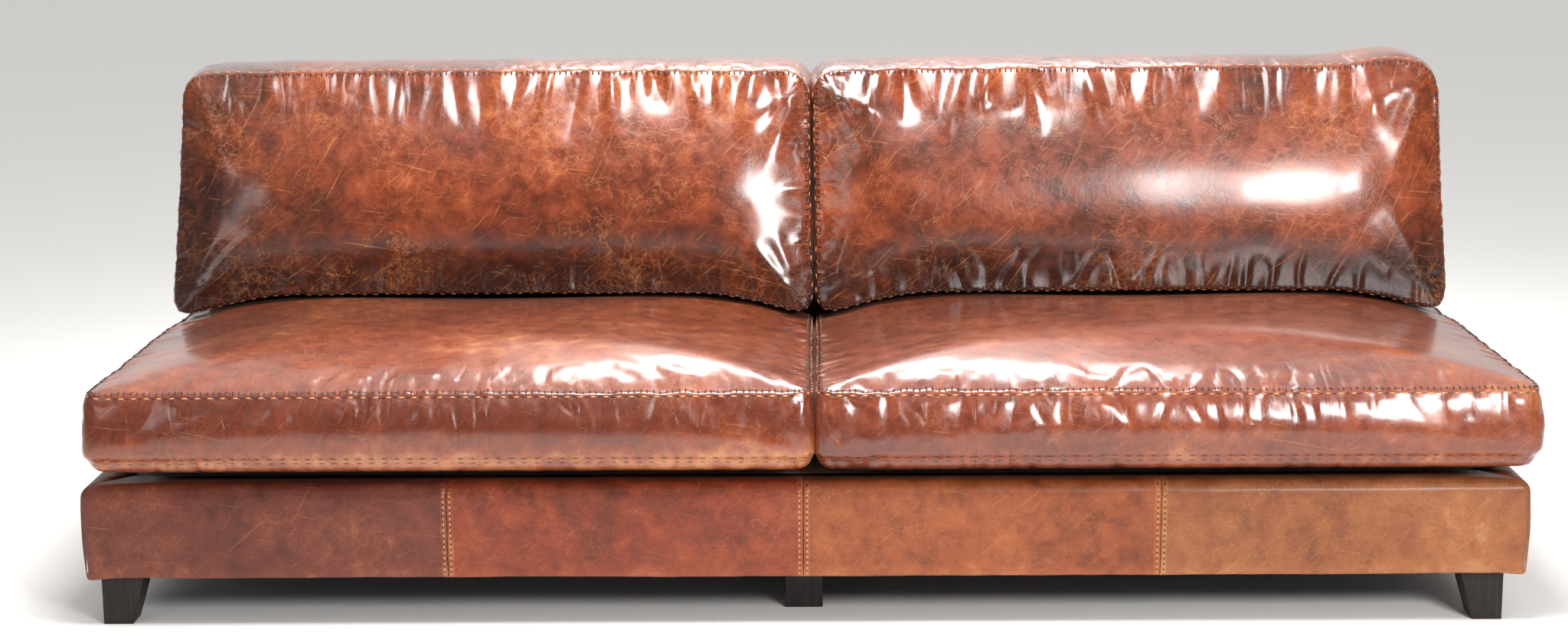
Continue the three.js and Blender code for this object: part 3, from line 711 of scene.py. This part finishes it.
back_hide = waxed_leather("waxed_leather_back", 21, *base_tones[1], gloss=0.45, wax=0.15, veins=0.5)
outside_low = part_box("outside_back_left")[0]
outside_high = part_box("outside_back_right")[1]
BACK_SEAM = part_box("outside_back_left")[1].x
BACK_CELL = 20 * MM
BACK_PUFF = 2.5 * MM
PUFF_REACH = 70 * MM
GROOVE = 1.2 * MM


def soft_outside(co):
    """Where a point of an outside panel really lies: sunk at its edges, puffed in the middle."""
    gap = min(abs(co.x - x) for x in (outside_low.x, BACK_SEAM, outside_high.x))
    ends = min(co.z - outside_low.z, outside_high.z - co.z)
    puff = smooth_step(gap / PUFF_REACH) * smooth_step(ends / PUFF_REACH)
    lumps = noise.noise(Vector((co.x * 7, 0.0, co.z * 9)))
    y = co.y
    if co.y > (outside_low.y + outside_high.y) / 2:
        y -= BACK_PUFF - puff * (BACK_PUFF + 1.2 * MM * lumps)
        from_seam = abs(co.x - BACK_SEAM)
        if GROOVE * 0.7 < from_seam < GROOVE * 1.1:
            y += GROOVE
    return Vector((co.x, y, co.z))


for node in (
    "inside_back_cover",
    "back_side_cover_left",
    "back_side_cover_right",
    "outside_back_left",
    "outside_back_right",
):
    low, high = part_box(node)
    bm = cad_copy(node)
    near_seam = [cut for cut in cuts_by(BACK_SEAM) if low.x < cut < high.x]
    slice_up(bm, 0, sorted(steps(low.x, high.x, BACK_CELL) + near_seam))
    slice_up(bm, 1, steps(low.y, high.y, BACK_CELL))
    slice_up(bm, 2, steps(low.z, high.z, BACK_CELL))
    bmesh.ops.triangulate(bm, faces=[f for f in bm.faces if len(f.verts) > 4])
    rear = node.startswith("outside")
    if rear:
        for vert in bm.verts:
            vert.co = soft_outside(vert.co)
    panel = new_piece(node + "_hide", bm, back_hide, "leather_base", node)
    points = [v.co for v in panel.data.vertices]
    from_seam = [abs(p.x - BACK_SEAM) if rear else 1.0 for p in points]
    top_wear = [0.5 * smooth_step((p.z - high.z + 30 * MM) / (30 * MM)) for p in points]
    mark(panel.data, "rubbed", [b + t for b, t in zip(band_wear(from_seam), top_wear)])
    mark_seams(panel.data, from_seam, [p.z - low.z for p in points])

rears = [bpy.data.objects[f"outside_back_{side}_hide"].data for side in ("left", "right")]
numbers = range(1, int((outside_high.z - outside_low.z) / BASE_PITCH) - 1)
sew_seam("outside_back_stitching", BACK_SEAM, outside_high.y + 10 * MM, outside_low.z, numbers, rears)


# ---- Cushions ----
# Loose covers of the same hide over foam and feathers: two panels and a border between, gathered
# into their seams so that the hide puckers. Tan thread runs along the border beside each seam, and
# pairs of dark strokes, made like stitches, lie across the edge of the panel as painted shade in its pits.


def cushion_blank(size, corner, roll, cell):
    """A flat-faced cushion about the origin, its panels across Z, cut into cells."""
    bm = bmesh.new()
    bmesh.ops.create_cube(bm, size=1.0)
    bmesh.ops.scale(bm, vec=size, verts=bm.verts)
    bend = {"profile": 0.5, "affect": "EDGES", "material": -1}
    upright = [e for e in bm.edges if abs(e.verts[0].co.z - e.verts[1].co.z) > cell / 10]
    bmesh.ops.bevel(bm, geom=upright, offset=corner, segments=4, **bend)
    rims = ((size[2] / 2, ROW, 2), (-size[2] / 2, roll, 2 if roll < 2 * ROW else 3))
    for level, offset, segments in rims:
        rim = [e for e in bm.edges if all(abs(v.co.z - level) < cell / 100 for v in e.verts)]
        bmesh.ops.bevel(bm, geom=rim, offset=offset, segments=segments, **bend)
    for axis in (0, 1):
        inner = size[axis] / 2 - corner
        slice_up(bm, axis, [-inner, *steps(-inner, inner, cell), inner])
        for sign in (-1, 1):
            slice_up(bm, axis, [sign * (inner + corner * f) for f in (0.38, 0.7)])
    slice_up(bm, 2, steps(-size[2] / 2 + roll, size[2] / 2 - ROW, cell))
    bmesh.ops.remove_doubles(bm, verts=bm.verts, dist=1.2 * MM)
    bmesh.ops.triangulate(bm, faces=[f for f in bm.faces if len(f.verts) > 4])
    bmesh.ops.recalc_face_normals(bm, faces=bm.faces)
    return bm


def inset_of(point, size, corner):
    """How far a point is inside the cushion's rounded outline, seen square on to its panels."""
    qx = abs(point.x) - size[0] / 2 + corner
    qy = abs(point.y) - size[1] / 2 + corner
    outside = math.hypot(max(qx, 0), max(qy, 0)) + min(max(qx, qy), 0)
    return corner - outside


def swell(point, size, reach, steep):
    """Height of a stuffed panel as a share of its crown: hipped like an envelope, softly ridged."""
    rise_x = 1 - (1 - min(max(size[0] / 2 - abs(point.x), 0) / reach[0], 1)) ** steep[0]
    rise_y = 1 - (1 - min(max(size[1] / 2 - abs(point.y), 0) / reach[1], 1)) ** steep[1]
    sharpness = 5
    if min(rise_x, rise_y) < 1e-4:
        return 0.0
    return (rise_x**-sharpness + rise_y**-sharpness) ** (-1 / sharpness) * 2 ** (1 / sharpness * 0.6)


def gathers(draw, length, spacing, reach, width, height):
    """Puckers along a seam: for each its place, length, width, height and slant."""
    made = []
    at = -length / 2 + spacing * draw.uniform(0.4, 1.0)
    while at < length / 2:
        made.append(
            (
                at,
                reach * draw.uniform(0.55, 1.2),
                width * draw.uniform(0.7, 1.3),
                height * draw.uniform(0.35, 1.25) * (1 if draw.random() < 0.7 else -0.8),
                draw.uniform(-0.35, 0.35),
            )
        )
        at += spacing * draw.uniform(0.6, 1.4)
    return made


def gathered(folds, along, away):
    """Height of the puckers at a place along a seam and away from it."""
    total = 0.0
    for at, reach, width, height, slant in folds:
        if 0 < away < reach and abs(along - at - slant * away) < 3 * width:
            fan = width * (0.6 + 0.9 * away / reach)
            shape = math.sin(math.pi * (away / reach) ** 0.55)
            total += height * shape * math.exp(-(((along - at - slant * away) / fan) ** 2))
    return total


def corner_folds(draw, reach, width, height):
    """Tension folds that fan out of a panel's corners: corner, angle, length, width and height."""
    made = []
    for side_x in (-1, 1):
        for side_y in (-1, 1):
            for angle in (draw.uniform(16, 28), draw.uniform(36, 48), draw.uniform(58, 72)):
                length = reach * draw.uniform(0.6, 1.2)
                breadth = width * draw.uniform(0.7, 1.3)
                rise = height * draw.uniform(0.5, 1.2)
                made.append((side_x, side_y, math.radians(angle), length, breadth, rise))
    return made


def folded(folds, point, size, corner):
    """Height of the corner folds at a point of the panel."""
    total = 0.0
    for side_x, side_y, angle, reach, width, height in folds:
        u = size[0] / 2 - corner * 0.6 - side_x * point.x
        v = size[1] / 2 - corner * 0.6 - side_y * point.y
        along = u * math.cos(angle) + v * math.sin(angle)
        across = v * math.cos(angle) - u * math.sin(angle)
        if 0 < along < reach and abs(across) < 4 * width:
            fan = width * (0.5 + along / reach)
            total += height * math.sin(math.pi * (along / reach) ** 0.7) * math.exp(-((across / fan) ** 2))
    return total


def inflate(piece, held, cap, pressure, frames):
    """Blows a cover up with cloth simulation: held keeps vertices where they are, from 0 to 1."""
    mesh = piece.data
    before = [v.co.copy() for v in mesh.vertices]
    pins = piece.vertex_groups.new(name="held")
    for index, weight in enumerate(held):
        if weight > 0:
            pins.add([index], weight, "REPLACE")
    cloth = piece.modifiers.new("cover", "CLOTH")
    cover = cloth.settings
    cover.quality = 5
    cover.mass = 0.3
    cover.tension_stiffness = 60
    cover.compression_stiffness = 40
    cover.shear_stiffness = 20
    cover.bending_stiffness = 0.5
    cover.tension_damping = 20
    cover.compression_damping = 20
    cover.shear_damping = 10
    cover.bending_damping = 1.0
    cover.air_damping = 2
    cover.use_pressure = True
    cover.uniform_pressure_force = pressure
    cover.effector_weights.gravity = 0
    cover.vertex_group_mass = "held"
    cover.pin_stiffness = 5
    cloth.collision_settings.use_collision = False
    for step in range(1, frames + 1):
        scene.frame_set(step)
    shaped = piece.evaluated_get(bpy.context.evaluated_depsgraph_get()).to_mesh()
    after = [v.co.copy() for v in shaped.vertices]
    piece.modifiers.remove(cloth)
    piece.vertex_groups.remove(pins)
    scene.frame_set(1)
    for vert, old, new in zip(mesh.vertices, before, after):
        move = new - old
        far = move.length
        vert.co = old + move * (cap * math.tanh(far / cap) / far if far > 1e-6 else 1)


def run_of(point, size, corner):
    """How far round the outline a point is, from the middle of its low-Y side, alike on both halves."""
    half_x, half_y = size[0] / 2, size[1] / 2
    arc = corner * math.pi / 2
    x, y = abs(point.x), point.y
    over_x, under_y, over_y = x - half_x + corner, -half_y + corner - y, y - half_y + corner
    side_start = half_x - corner + arc
    top_start = side_start + 2 * (half_y - corner)
    if over_x > 0 and under_y > 0:
        return half_x - corner + corner * math.atan2(over_x, under_y)
    if over_x > 0 and over_y > 0:
        return top_start + corner * math.atan2(over_y, over_x)
    nearest = min(half_x - x, y + half_y, half_y - y)
    if nearest == half_x - x:
        return side_start + y + half_y - corner
    if nearest == y + half_y:
        return x
    return top_start + arc + half_x - corner - x


def on_outline(run, size, corner, inset, level, side):
    """The point inset from the outline at a run round it, which is what run_of gives back."""
    half_x, half_y = size[0] / 2, size[1] / 2
    arc = corner * math.pi / 2
    side_start = half_x - corner + arc
    top_start = side_start + 2 * (half_y - corner)
    in_x, in_y, radius = half_x - corner, half_y - corner, corner - inset
    if run < in_x:
        x, y = run, -half_y + inset
    elif run < side_start:
        angle = (run - in_x) / corner
        x, y = in_x + radius * math.sin(angle), -in_y - radius * math.cos(angle)
    elif run < top_start:
        x, y = half_x - inset, run - side_start - in_y
    elif run < top_start + arc:
        angle = (run - top_start) / corner
        x, y = in_x + radius * math.cos(angle), in_y + radius * math.sin(angle)
    else:
        x, y = in_x - (run - top_start - arc), half_y - inset
    return Vector((side * x, y, level))


# The folds that run in from a seam are FOLD_DEPTH deep at most, and gone FOLD_REACH from it.
FOLD_REACH = 125 * MM
FOLD_DEPTH = 3.5 * MM


def crumple(mesh):
    """Sinks narrow folds into the leather where the seams gather it, deep here and shallow there."""
    runs = [item.value for item in mesh.attributes["along_seam"].data]
    gaps = [item.value for item in mesh.attributes["inward"].data]
    normals = [v.normal.copy() for v in mesh.vertices]
    for vert, normal, run, gap in zip(mesh.vertices, normals, runs, gaps):
        if gap < FOLD_REACH:
            flow = noise.noise(Vector((run * 19, gap * 7, vert.co.x * 6)))
            valley = 1 - smooth_step(abs(flow) / 0.2)
            fade = (0.3 + 0.7 * smooth_step(gap / (14 * MM))) * (1 - smooth_step(gap / FOLD_REACH))
            taut = smooth_step(0.6 + 1.6 * noise.noise(vert.co * 5))
            vert.co -= normal * (FOLD_DEPTH * valley * fade * (0.2 + 0.8 * taut))


def build_cushion(name, size, corner, roll, cell, shape, held, place, grimy, hide, rows, replaced, **blow):
    """Makes, stuffs, places and stitches one cushion.

    Four functions of a point on the flat-faced blank say what becomes of it. shape stuffs it, held
    is 1 where the simulation leaves it alone, place takes it to the sofa, and the last gives its painted
    shade. A row is its inset from the outline, its level, and whether it is sewn or only worn. Sewing a
    row inset into a panel lays dark strokes of painted shade.
    """
    bm = cushion_blank(size, corner, roll, cell)
    bm.verts.index_update()
    bm.faces.index_update()
    bm.verts.ensure_lookup_table()
    flat = BVHTree.FromBMesh(bm)
    corners = [[v.index for v in f.verts] for f in bm.faces]
    flat_points = [v.co.copy() for v in bm.verts]
    pins = [held(p) for p in flat_points]
    for vert, point in zip(bm.verts, flat_points):
        vert.co = shape(point)
    piece = new_piece(name, bm, hide, "leather_cushion", *replaced)
    inflate(piece, pins, **blow)
    for vert in piece.data.vertices:
        vert.co = place(vert.co)
    control = [v.co.copy() for v in piece.data.vertices]
    finer = piece.modifiers.new("smooth", "SUBSURF")
    finer.levels = finer.render_levels = 1
    inset = [inset_of(p, size, corner) for p in flat_points]
    levels = [level for row_inset, level, sewn in rows if row_inset > 0 or not sewn]
    away = [max(i, min(abs(p.z - level) for level in levels)) for i, p in zip(inset, flat_points)]
    mark(piece.data, "rubbed", [0.45 * (1 - smooth_step(a / (16 * MM))) for a in away])
    # Puckers are shorter by the ends of the cushion, so a point there counts as further in.
    sideways = [size[0] / 2 - abs(p.x) - size[1] / 2 + abs(p.y) for p in flat_points]
    stretch = [1 + 0.9 * smooth_step(0.5 - s / (60 * MM)) for s in sideways]
    mark(piece.data, "inward", [a * more for a, more in zip(away, stretch)])
    mark(piece.data, "from_seam", [max(0.0, 1 - a / SEAM_REACH) for a in away])
    mark(piece.data, "along_seam", [run_of(p, size, corner) for p in flat_points])
    mark(piece.data, "grimy", [grimy(p) for p in flat_points])
    mesh = bpy.data.meshes.new_from_object(piece.evaluated_get(bpy.context.evaluated_depsgraph_get()))
    piece.modifiers.clear()
    old, piece.data = piece.data, mesh
    bpy.data.meshes.remove(old)
    crumple(mesh)
    skin = skin_of(mesh)

    def carried(point):
        """Where a point of the blank has gone with the leather round it."""
        spot, _, face, _ = flat.find_nearest(point)
        ring = corners[face]
        weights = poly_3d_calc([flat_points[i] for i in ring], spot)
        return sum((control[i] * w for i, w in zip(ring, weights)), Vector())

    stitch_count = int(run_of(Vector((0, size[1] / 2, 0)), size, corner) / PITCH)
    stitches, shade_stroke_ends = [], []
    for row_inset, level in [row[:2] for row in rows if row[2]]:
        for half, number in itertools.product((-1, 1), range(stitch_count)):
            runs = [(number + f) * PITCH for f in (0.27, 0.73)]
            # On a panel, dark strokes across the row stand for painted shade in the pits where the leather is
            # pinched.
            if row_inset > 0:
                for run in runs:
                    insets = (0.4 * ROW, 2 * ROW)
                    ends = [on_outline(run, size, corner, inset, level, half) for inset in insets]
                    shade_stroke_ends.append([carried(end) for end in ends])
            else:
                ends = [on_outline(run, size, corner, 0.0, level, half) for run in runs]
                stitches.append([carried(end) for end in ends])
    sew(name + "_stitching", stitches, skin, thread, "leather_cushion")
    # Dark strokes of painted shade for the pits beside the seams, made like stitches.
    sew(name + "_lacing", shade_stroke_ends, skin, pit_shade_finish, "leather_cushion")


# A dark thread finish for the strokes of painted shade in the pits beside the seams.
pit_shade_finish = waxed_thread("pit_shade_dark_paint", "#3a1a10")

# A seat cushion's top seam is SEAT_SEAM up, and its foot is rounded by SEAT_ROLL. The top panel rises
# to its crown over SEAT_REACH from each end, as steeply as the two powers of SEAT_SLOPE say.
SEAT_SEAM = 0.4
SEAT_CORNER = 30 * MM
SEAT_ROLL = 22 * MM
SEAT_REACH = 210 * MM
SEAT_SLOPE = (1.5, 2.6)

# The face of a back cushion passes through BACK_FOOT, as Y and Z, and leans BACK_LEAN back for each
# metre up.
BACK_FOOT = (0.139, 0.425)
BACK_LEAN = 0.255
BACK_BORDER = 212 * MM
BACK_CORNER = 42 * MM
BACK_SLOPE = (1.2, 1.25)
BACK_REACH = (190 * MM, 215 * MM)
BACK_CROWN = 46 * MM
BACK_DENTS = 5 * MM
REAR_CROWN = 4 * MM
# Its top seam is TOP_SEAM below the top of its CAD solid and rises TOP_CROWN in the middle. Its
# bottom edge rises BOTTOM_RISE over the seat's crown, from BOTTOM_SAG below the solid's foot.
TOP_SEAM = 16 * MM
TOP_CROWN = 9 * MM
BOTTOM_RISE = 44 * MM
BOTTOM_SAG = 25 * MM
# How far the top left and top right corners have moved to the right, and the ear at one of them.
BACK_SHIFT = {"left": (17 * MM, -6 * MM), "right": (-6 * MM, -9 * MM)}
BACK_EAR = {"left": 0.0, "right": 15 * MM}


def back_cushion(side, seed):
    """A back cushion, lying on its rear panel until it is placed, with its top towards Y."""
    low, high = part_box(f"back_cushion_cover_{side}")
    seam_top = high.z - TOP_SEAM
    size = (high.x - low.x, (seam_top - low.z), BACK_BORDER)
    half = size[2] / 2
    draw = random.Random(seed)
    folds_top = gathers(draw, size[0], 58 * MM, 120 * MM, 15 * MM, 13 * MM)
    folds_side = gathers(draw, size[0], 40 * MM, 60 * MM, 9 * MM, 4 * MM)
    folds_corner = corner_folds(draw, 170 * MM, 11 * MM, 7 * MM)
    calm_reach = 70 * MM

    def shape(p):
        point = p.copy()
        if abs(p.z) > half - ROW * 1.01:
            rise = swell(p, size, BACK_REACH, BACK_SLOPE)
            point.z += (BACK_CROWN if p.z > 0 else -REAR_CROWN) * rise
            if p.z > 0:
                gap_x = size[0] / 2 - abs(p.x)
                gap_y = size[1] / 2 - p.y
                calm = smooth_step(gap_x / calm_reach)
                inner = smooth_step(0.5 + p.x / size[0] * (1.4 if side == "left" else -1.4))
                point.z += calm * (0.45 + 0.75 * inner) * gathered(folds_top, p.x, gap_y)
                point.z += calm * gathered(folds_side, p.x + 0.3, size[1] / 2 + p.y)
                calm = smooth_step(min(gap_y, size[1] / 2 + p.y) / calm_reach)
                point.z += calm * gathered(folds_side, p.y, gap_x)
                point.z += BACK_DENTS * noise.noise(Vector((p.x * 5, p.y * 5, seed * 7))) * rise
                point.z += folded(folds_corner, p, size, BACK_CORNER)
        else:
            bulge = math.cos(math.pi * p.z / size[2]) * 7 * MM + 3 * MM * noise.noise(p * 16)
            point.x += math.copysign(bulge, p.x) if abs(p.x) > size[0] / 2 - BACK_CORNER else 0
            point.y += math.copysign(bulge, p.y) if abs(p.y) > size[1] / 2 - BACK_CORNER else 0
        point.x *= 1 - 0.004 * math.cos(math.pi * p.y / size[1])
        point.y *= 1 - 0.010 * math.cos(math.pi * p.x / size[0])
        return point

    def held(p):
        if p.z < -half + ROW * 1.01:
            return 1.0
        seam = max(inset_of(p, size, BACK_CORNER), half - p.z)
        return 1.0 if seam < ROW * 1.2 else 0.0

    def place(p):
        up = (p.y + size[1] / 2) / size[1]
        across = (p.x + size[0] / 2) / size[0]
        left_in, right_in = BACK_SHIFT[side]
        x = (low.x + high.x) / 2 + p.x + up * (left_in * (1 - across) + right_in * across)
        z = low.z + up * (seam_top - low.z)
        gap = max(min(across, 1 - across), 0) * size[0]
        crown = 1 - (1 - min(gap / SEAT_REACH, 1)) ** SEAT_SLOPE[0]
        z += (BOTTOM_RISE * crown - BOTTOM_SAG) * (1 - smooth_step(up / 0.45))
        near_top = smooth_step((up - 0.7) / 0.3)
        z += TOP_CROWN * math.sin(math.pi * min(max(across, 0), 1)) ** 0.4 * near_top
        z += BACK_EAR[side] * math.exp(-(((across - 0.93) / 0.06) ** 2)) * near_top
        y = BACK_FOOT[0] + BACK_LEAN * (z - BACK_FOOT[1]) + half - p.z
        return Vector((x, y, z))

    # Painted shade: darker towards the foot of the cushion by the seat, and at the left end of the left
    # cushion.
    def grimy(p):
        up = (p.y + size[1] / 2) / size[1]
        outer = (0.5 - p.x / size[0]) if side == "left" else 0.15
        by_the_seat = 1.4 * (1 - smooth_step(up / 0.42))
        return by_the_seat + 1.2 * smooth_step((outer - 0.75) / 0.25) * (1 - 0.5 * up)

    tones = ("#2c1109", "#532210", "#6e2d13", "#853a19", "#bd7846")
    finish = {"gloss": 0.27, "veins": 0.75, "scars": 0.5}
    hide = waxed_leather(f"waxed_leather_back_cushion_{side}", seed, *tones, **finish)
    rows = [(ROW, half, True), (0.0, half - ROW, True), (ROW, -half, True), (0.0, -half + ROW, True)]
    inside = [f"back_cushion_{part}_{side}" for part in ("cover", "filling")] + [f"back_zip_{side}"]
    makings = (shape, held, place, grimy, hide, rows, inside)
    blow = {"cap": 24 * MM, "pressure": 2.2, "frames": 12}
    build_cushion(f"back_cushion_{side}", size, BACK_CORNER, ROW, 10 * MM, *makings, **blow)


for side, seed in (("left", 1), ("right", 2)):
    back_cushion(side, seed)

# A seat panel's crown, which is SEAT_FALL lower at its back, and the belly of its border.
SEAT_CROWN = 40 * MM
SEAT_FALL = 9 * MM
SEAT_DENTS = 4 * MM
SEAT_BELLY = 17 * MM
# The bottom rim is SEAT_LIFT off the deck, and the top corners at the back have sunk by BACK_SINK.
SEAT_LIFT = 24 * MM
BACK_SINK = 7 * MM


def seat_cushion(side, seed):
    """A seat cushion: a plump top, a border with a belly, and a rounded foot with no lower seam."""
    low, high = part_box(f"seat_cushion_cover_{side}")
    size = (high.x - low.x, high.y - low.y, SEAT_SEAM - low.z)
    half = size[2] / 2
    draw = random.Random(seed)
    folds_top = gathers(draw, size[0], 30 * MM, 85 * MM, 8 * MM, 6 * MM)
    folds_side = gathers(draw, size[1], 34 * MM, 60 * MM, 8 * MM, 3.5 * MM)
    calm_reach = 60 * MM

    def shape(p):
        point = p.copy()
        if p.z > half - ROW * 1.01:
            rise = swell(p, size, (SEAT_REACH, 200 * MM), SEAT_SLOPE)
            back = smooth_step((p.y + size[1] / 2) / size[1])
            point.z += (SEAT_CROWN - SEAT_FALL * back) * rise
            gap_x = size[0] / 2 - abs(p.x)
            gap_y = size[1] / 2 + p.y
            point.z += smooth_step(gap_x / calm_reach) * gathered(folds_top, p.x, gap_y)
            point.z += smooth_step(gap_y / calm_reach) * gathered(folds_side, p.y, gap_x)
            point.z += SEAT_DENTS * noise.noise(Vector((p.x * 4, p.y * 4, seed * 7))) * rise * (1 - back)
        elif p.z > -half + SEAT_ROLL:
            up = min(max(0.5 + p.z / size[2], 0), 1)
            bulge = math.sin(math.pi * up**0.62) ** 0.9 * SEAT_BELLY
            if abs(p.y) > size[1] / 2 - SEAT_CORNER:
                bulge += gathered(folds_top, p.x + 9 * MM, half - p.z) * 0.6
            point.x += math.copysign(0.4 * bulge, p.x) if abs(p.x) > size[0] / 2 - SEAT_CORNER else 0
            point.y += math.copysign(bulge, p.y) if abs(p.y) > size[1] / 2 - SEAT_CORNER else 0
        point.x *= 1 - 0.004 * math.cos(math.pi * p.y / size[1])
        point.y *= 1 - 0.004 * math.cos(math.pi * p.x / size[0])
        return point

    def held(p):
        if p.z < -half + SEAT_ROLL + 1 * MM:
            return 1.0
        seam = max(inset_of(p, size, SEAT_CORNER), half - p.z)
        return 1.0 if seam < ROW * 1.2 else 0.0

    def place(p):
        middle = Vector(((low.x + high.x) / 2, (low.y + high.y) / 2, low.z + half))
        rim = 1 - smooth_step(inset_of(p, size, SEAT_CORNER) / (110 * MM))
        lift = SEAT_LIFT * rim * (0.5 - p.z / size[2])
        behind = smooth_step((p.y - 0.1) / 0.15) * smooth_step((abs(p.x) - size[0] / 2 + 0.12) / 0.1)
        lift -= BACK_SINK * behind * (0.5 + p.z / size[2])
        return middle + p + Vector((0, 0, lift))

    def grimy(p):
        """The left border alone: painted shade darkens its upper part, and its foot is made paler."""
        if side == "right" or p.z > 0.49 * size[2]:
            return 0.0
        fade = 0.3 * size[2]
        return 0.8 * smooth_step((p.z + 0.1 * size[2]) / fade) - 0.9 * smooth_step(-p.z / fade)

    tones = ("#572314", "#662a16", "#78351b", "#8a4222", "#bd7d50")
    finish = {"gloss": 0.3, "veins": 0.4, "scars": 0.3}
    hide = waxed_leather(f"waxed_leather_seat_cushion_{side}", seed + 30, *tones, **finish)
    rows = [(ROW, half, True), (0.0, half - ROW, True), (0.0, -half + SEAT_ROLL + 2 * MM, False)]
    inside = [f"seat_cushion_{part}_{side}" for part in ("cover", "filling")] + [f"seat_zip_{side}"]
    makings = (shape, held, place, grimy, hide, rows, inside)
    blow = {"cap": 16 * MM, "pressure": 2.0, "frames": 12}
    build_cushion(f"seat_cushion_{side}", size, SEAT_CORNER, SEAT_ROLL, 12 * MM, *makings, **blow)


for side, seed in (("left", 3), ("right", 4)):
    seat_cushion(side, seed)


# ---- Studio ----
# A plain pale floor with no end in sight, and soft light from above and behind. Four soft boxes add
# the highlights: the key high on the right in front, one above, one behind, and a weak left one.

material, tree, shader, where = finish_of("pale_floor_paint", "#f2f0ed", 0.9)
bm = bmesh.new()
bmesh.ops.create_grid(bm, x_segments=1, y_segments=1, size=60.0)
floor_mesh = bpy.data.meshes.new("floor")
bm.to_mesh(floor_mesh)
bm.free()
floor_mesh.materials.append(material)
floor = bpy.data.objects.new("floor", floor_mesh)
scene.collection.objects.link(floor)

world = bpy.data.worlds.new("studio")
world.use_nodes = True
sky = world.node_tree
facing = put(sky, "SeparateXYZ", {"Vector": put(sky, "TexCoord").outputs["Generated"]}).outputs
overhead = put(
    sky,
    "MapRange",
    {"Value": facing["Z"], "From Min": 0.35, "From Max": 0.95, "To Min": 0.18, "To Max": 0.8},
    interpolation_type="SMOOTHSTEP",
).outputs["Result"]
behind = put(sky, "MapRange", {"Value": facing["Y"], "From Min": 0.0, "From Max": 0.7, "To Max": 0.5})
glow = put(sky, "Math", {0: overhead, 1: behind.outputs["Result"]}, operation="ADD").outputs[0]
sky.links.new(glow, sky.nodes["Background"].inputs["Strength"])
sky.nodes["Background"].inputs["Color"].default_value = linear("#ffffff")
scene.world = world

for name, place, aim, width, height, power in (
    ("key", (2.1, -4.1, 2.4), (0.3, 0.0, 0.6), 1.4, 1.0, 150),
    ("top", (0.0, -0.9, 2.9), (0.0, 0.2, 0.6), 1.5, 1.0, 112),
    ("rear", (0.15, 1.7, 2.1), (0.15, -0.4, 0.4), 1.7, 0.9, 40),
    ("left", (-2.9, -3.6, 1.9), (-0.3, 0.0, 0.6), 1.2, 1.0, 10),
):
    light = bpy.data.lights.new(name, "AREA")
    light.shape = "RECTANGLE"
    light.size, light.size_y, light.energy = width, height, power
    lamp = bpy.data.objects.new(name, light)
    lamp.location = place
    lamp.rotation_euler = (Vector(aim) - Vector(place)).to_track_quat("-Z", "Y").to_euler()
    scene.collection.objects.link(lamp)

# The camera stands 4.1 m in front of the base, at chest height, and looks slightly down.
CAMERA_PLACE = Vector((0.0164, -4.6164, 1.3388))
yaw, pitch, roll = (math.radians(a) for a in (-0.728, 11.263, -0.433))
ahead = Vector((math.sin(yaw) * math.cos(pitch), math.cos(yaw) * math.cos(pitch), -math.sin(pitch)))
right = Vector((math.cos(yaw), -math.sin(yaw), 0))
above = right.cross(ahead)
right_rolled = right * math.cos(roll) + above * math.sin(roll)
above_rolled = above * math.cos(roll) - right * math.sin(roll)
turn = Matrix((right_rolled, above_rolled, -ahead)).transposed().to_4x4()
lens = bpy.data.cameras.new("camera")
lens.lens, lens.sensor_width = 59.13, 36.0
camera = bpy.data.objects.new("camera", lens)
camera.matrix_world = Matrix.Translation(CAMERA_PLACE) @ turn
scene.collection.objects.link(camera)
scene.camera = camera
scene.view_settings.view_transform = "Standard"
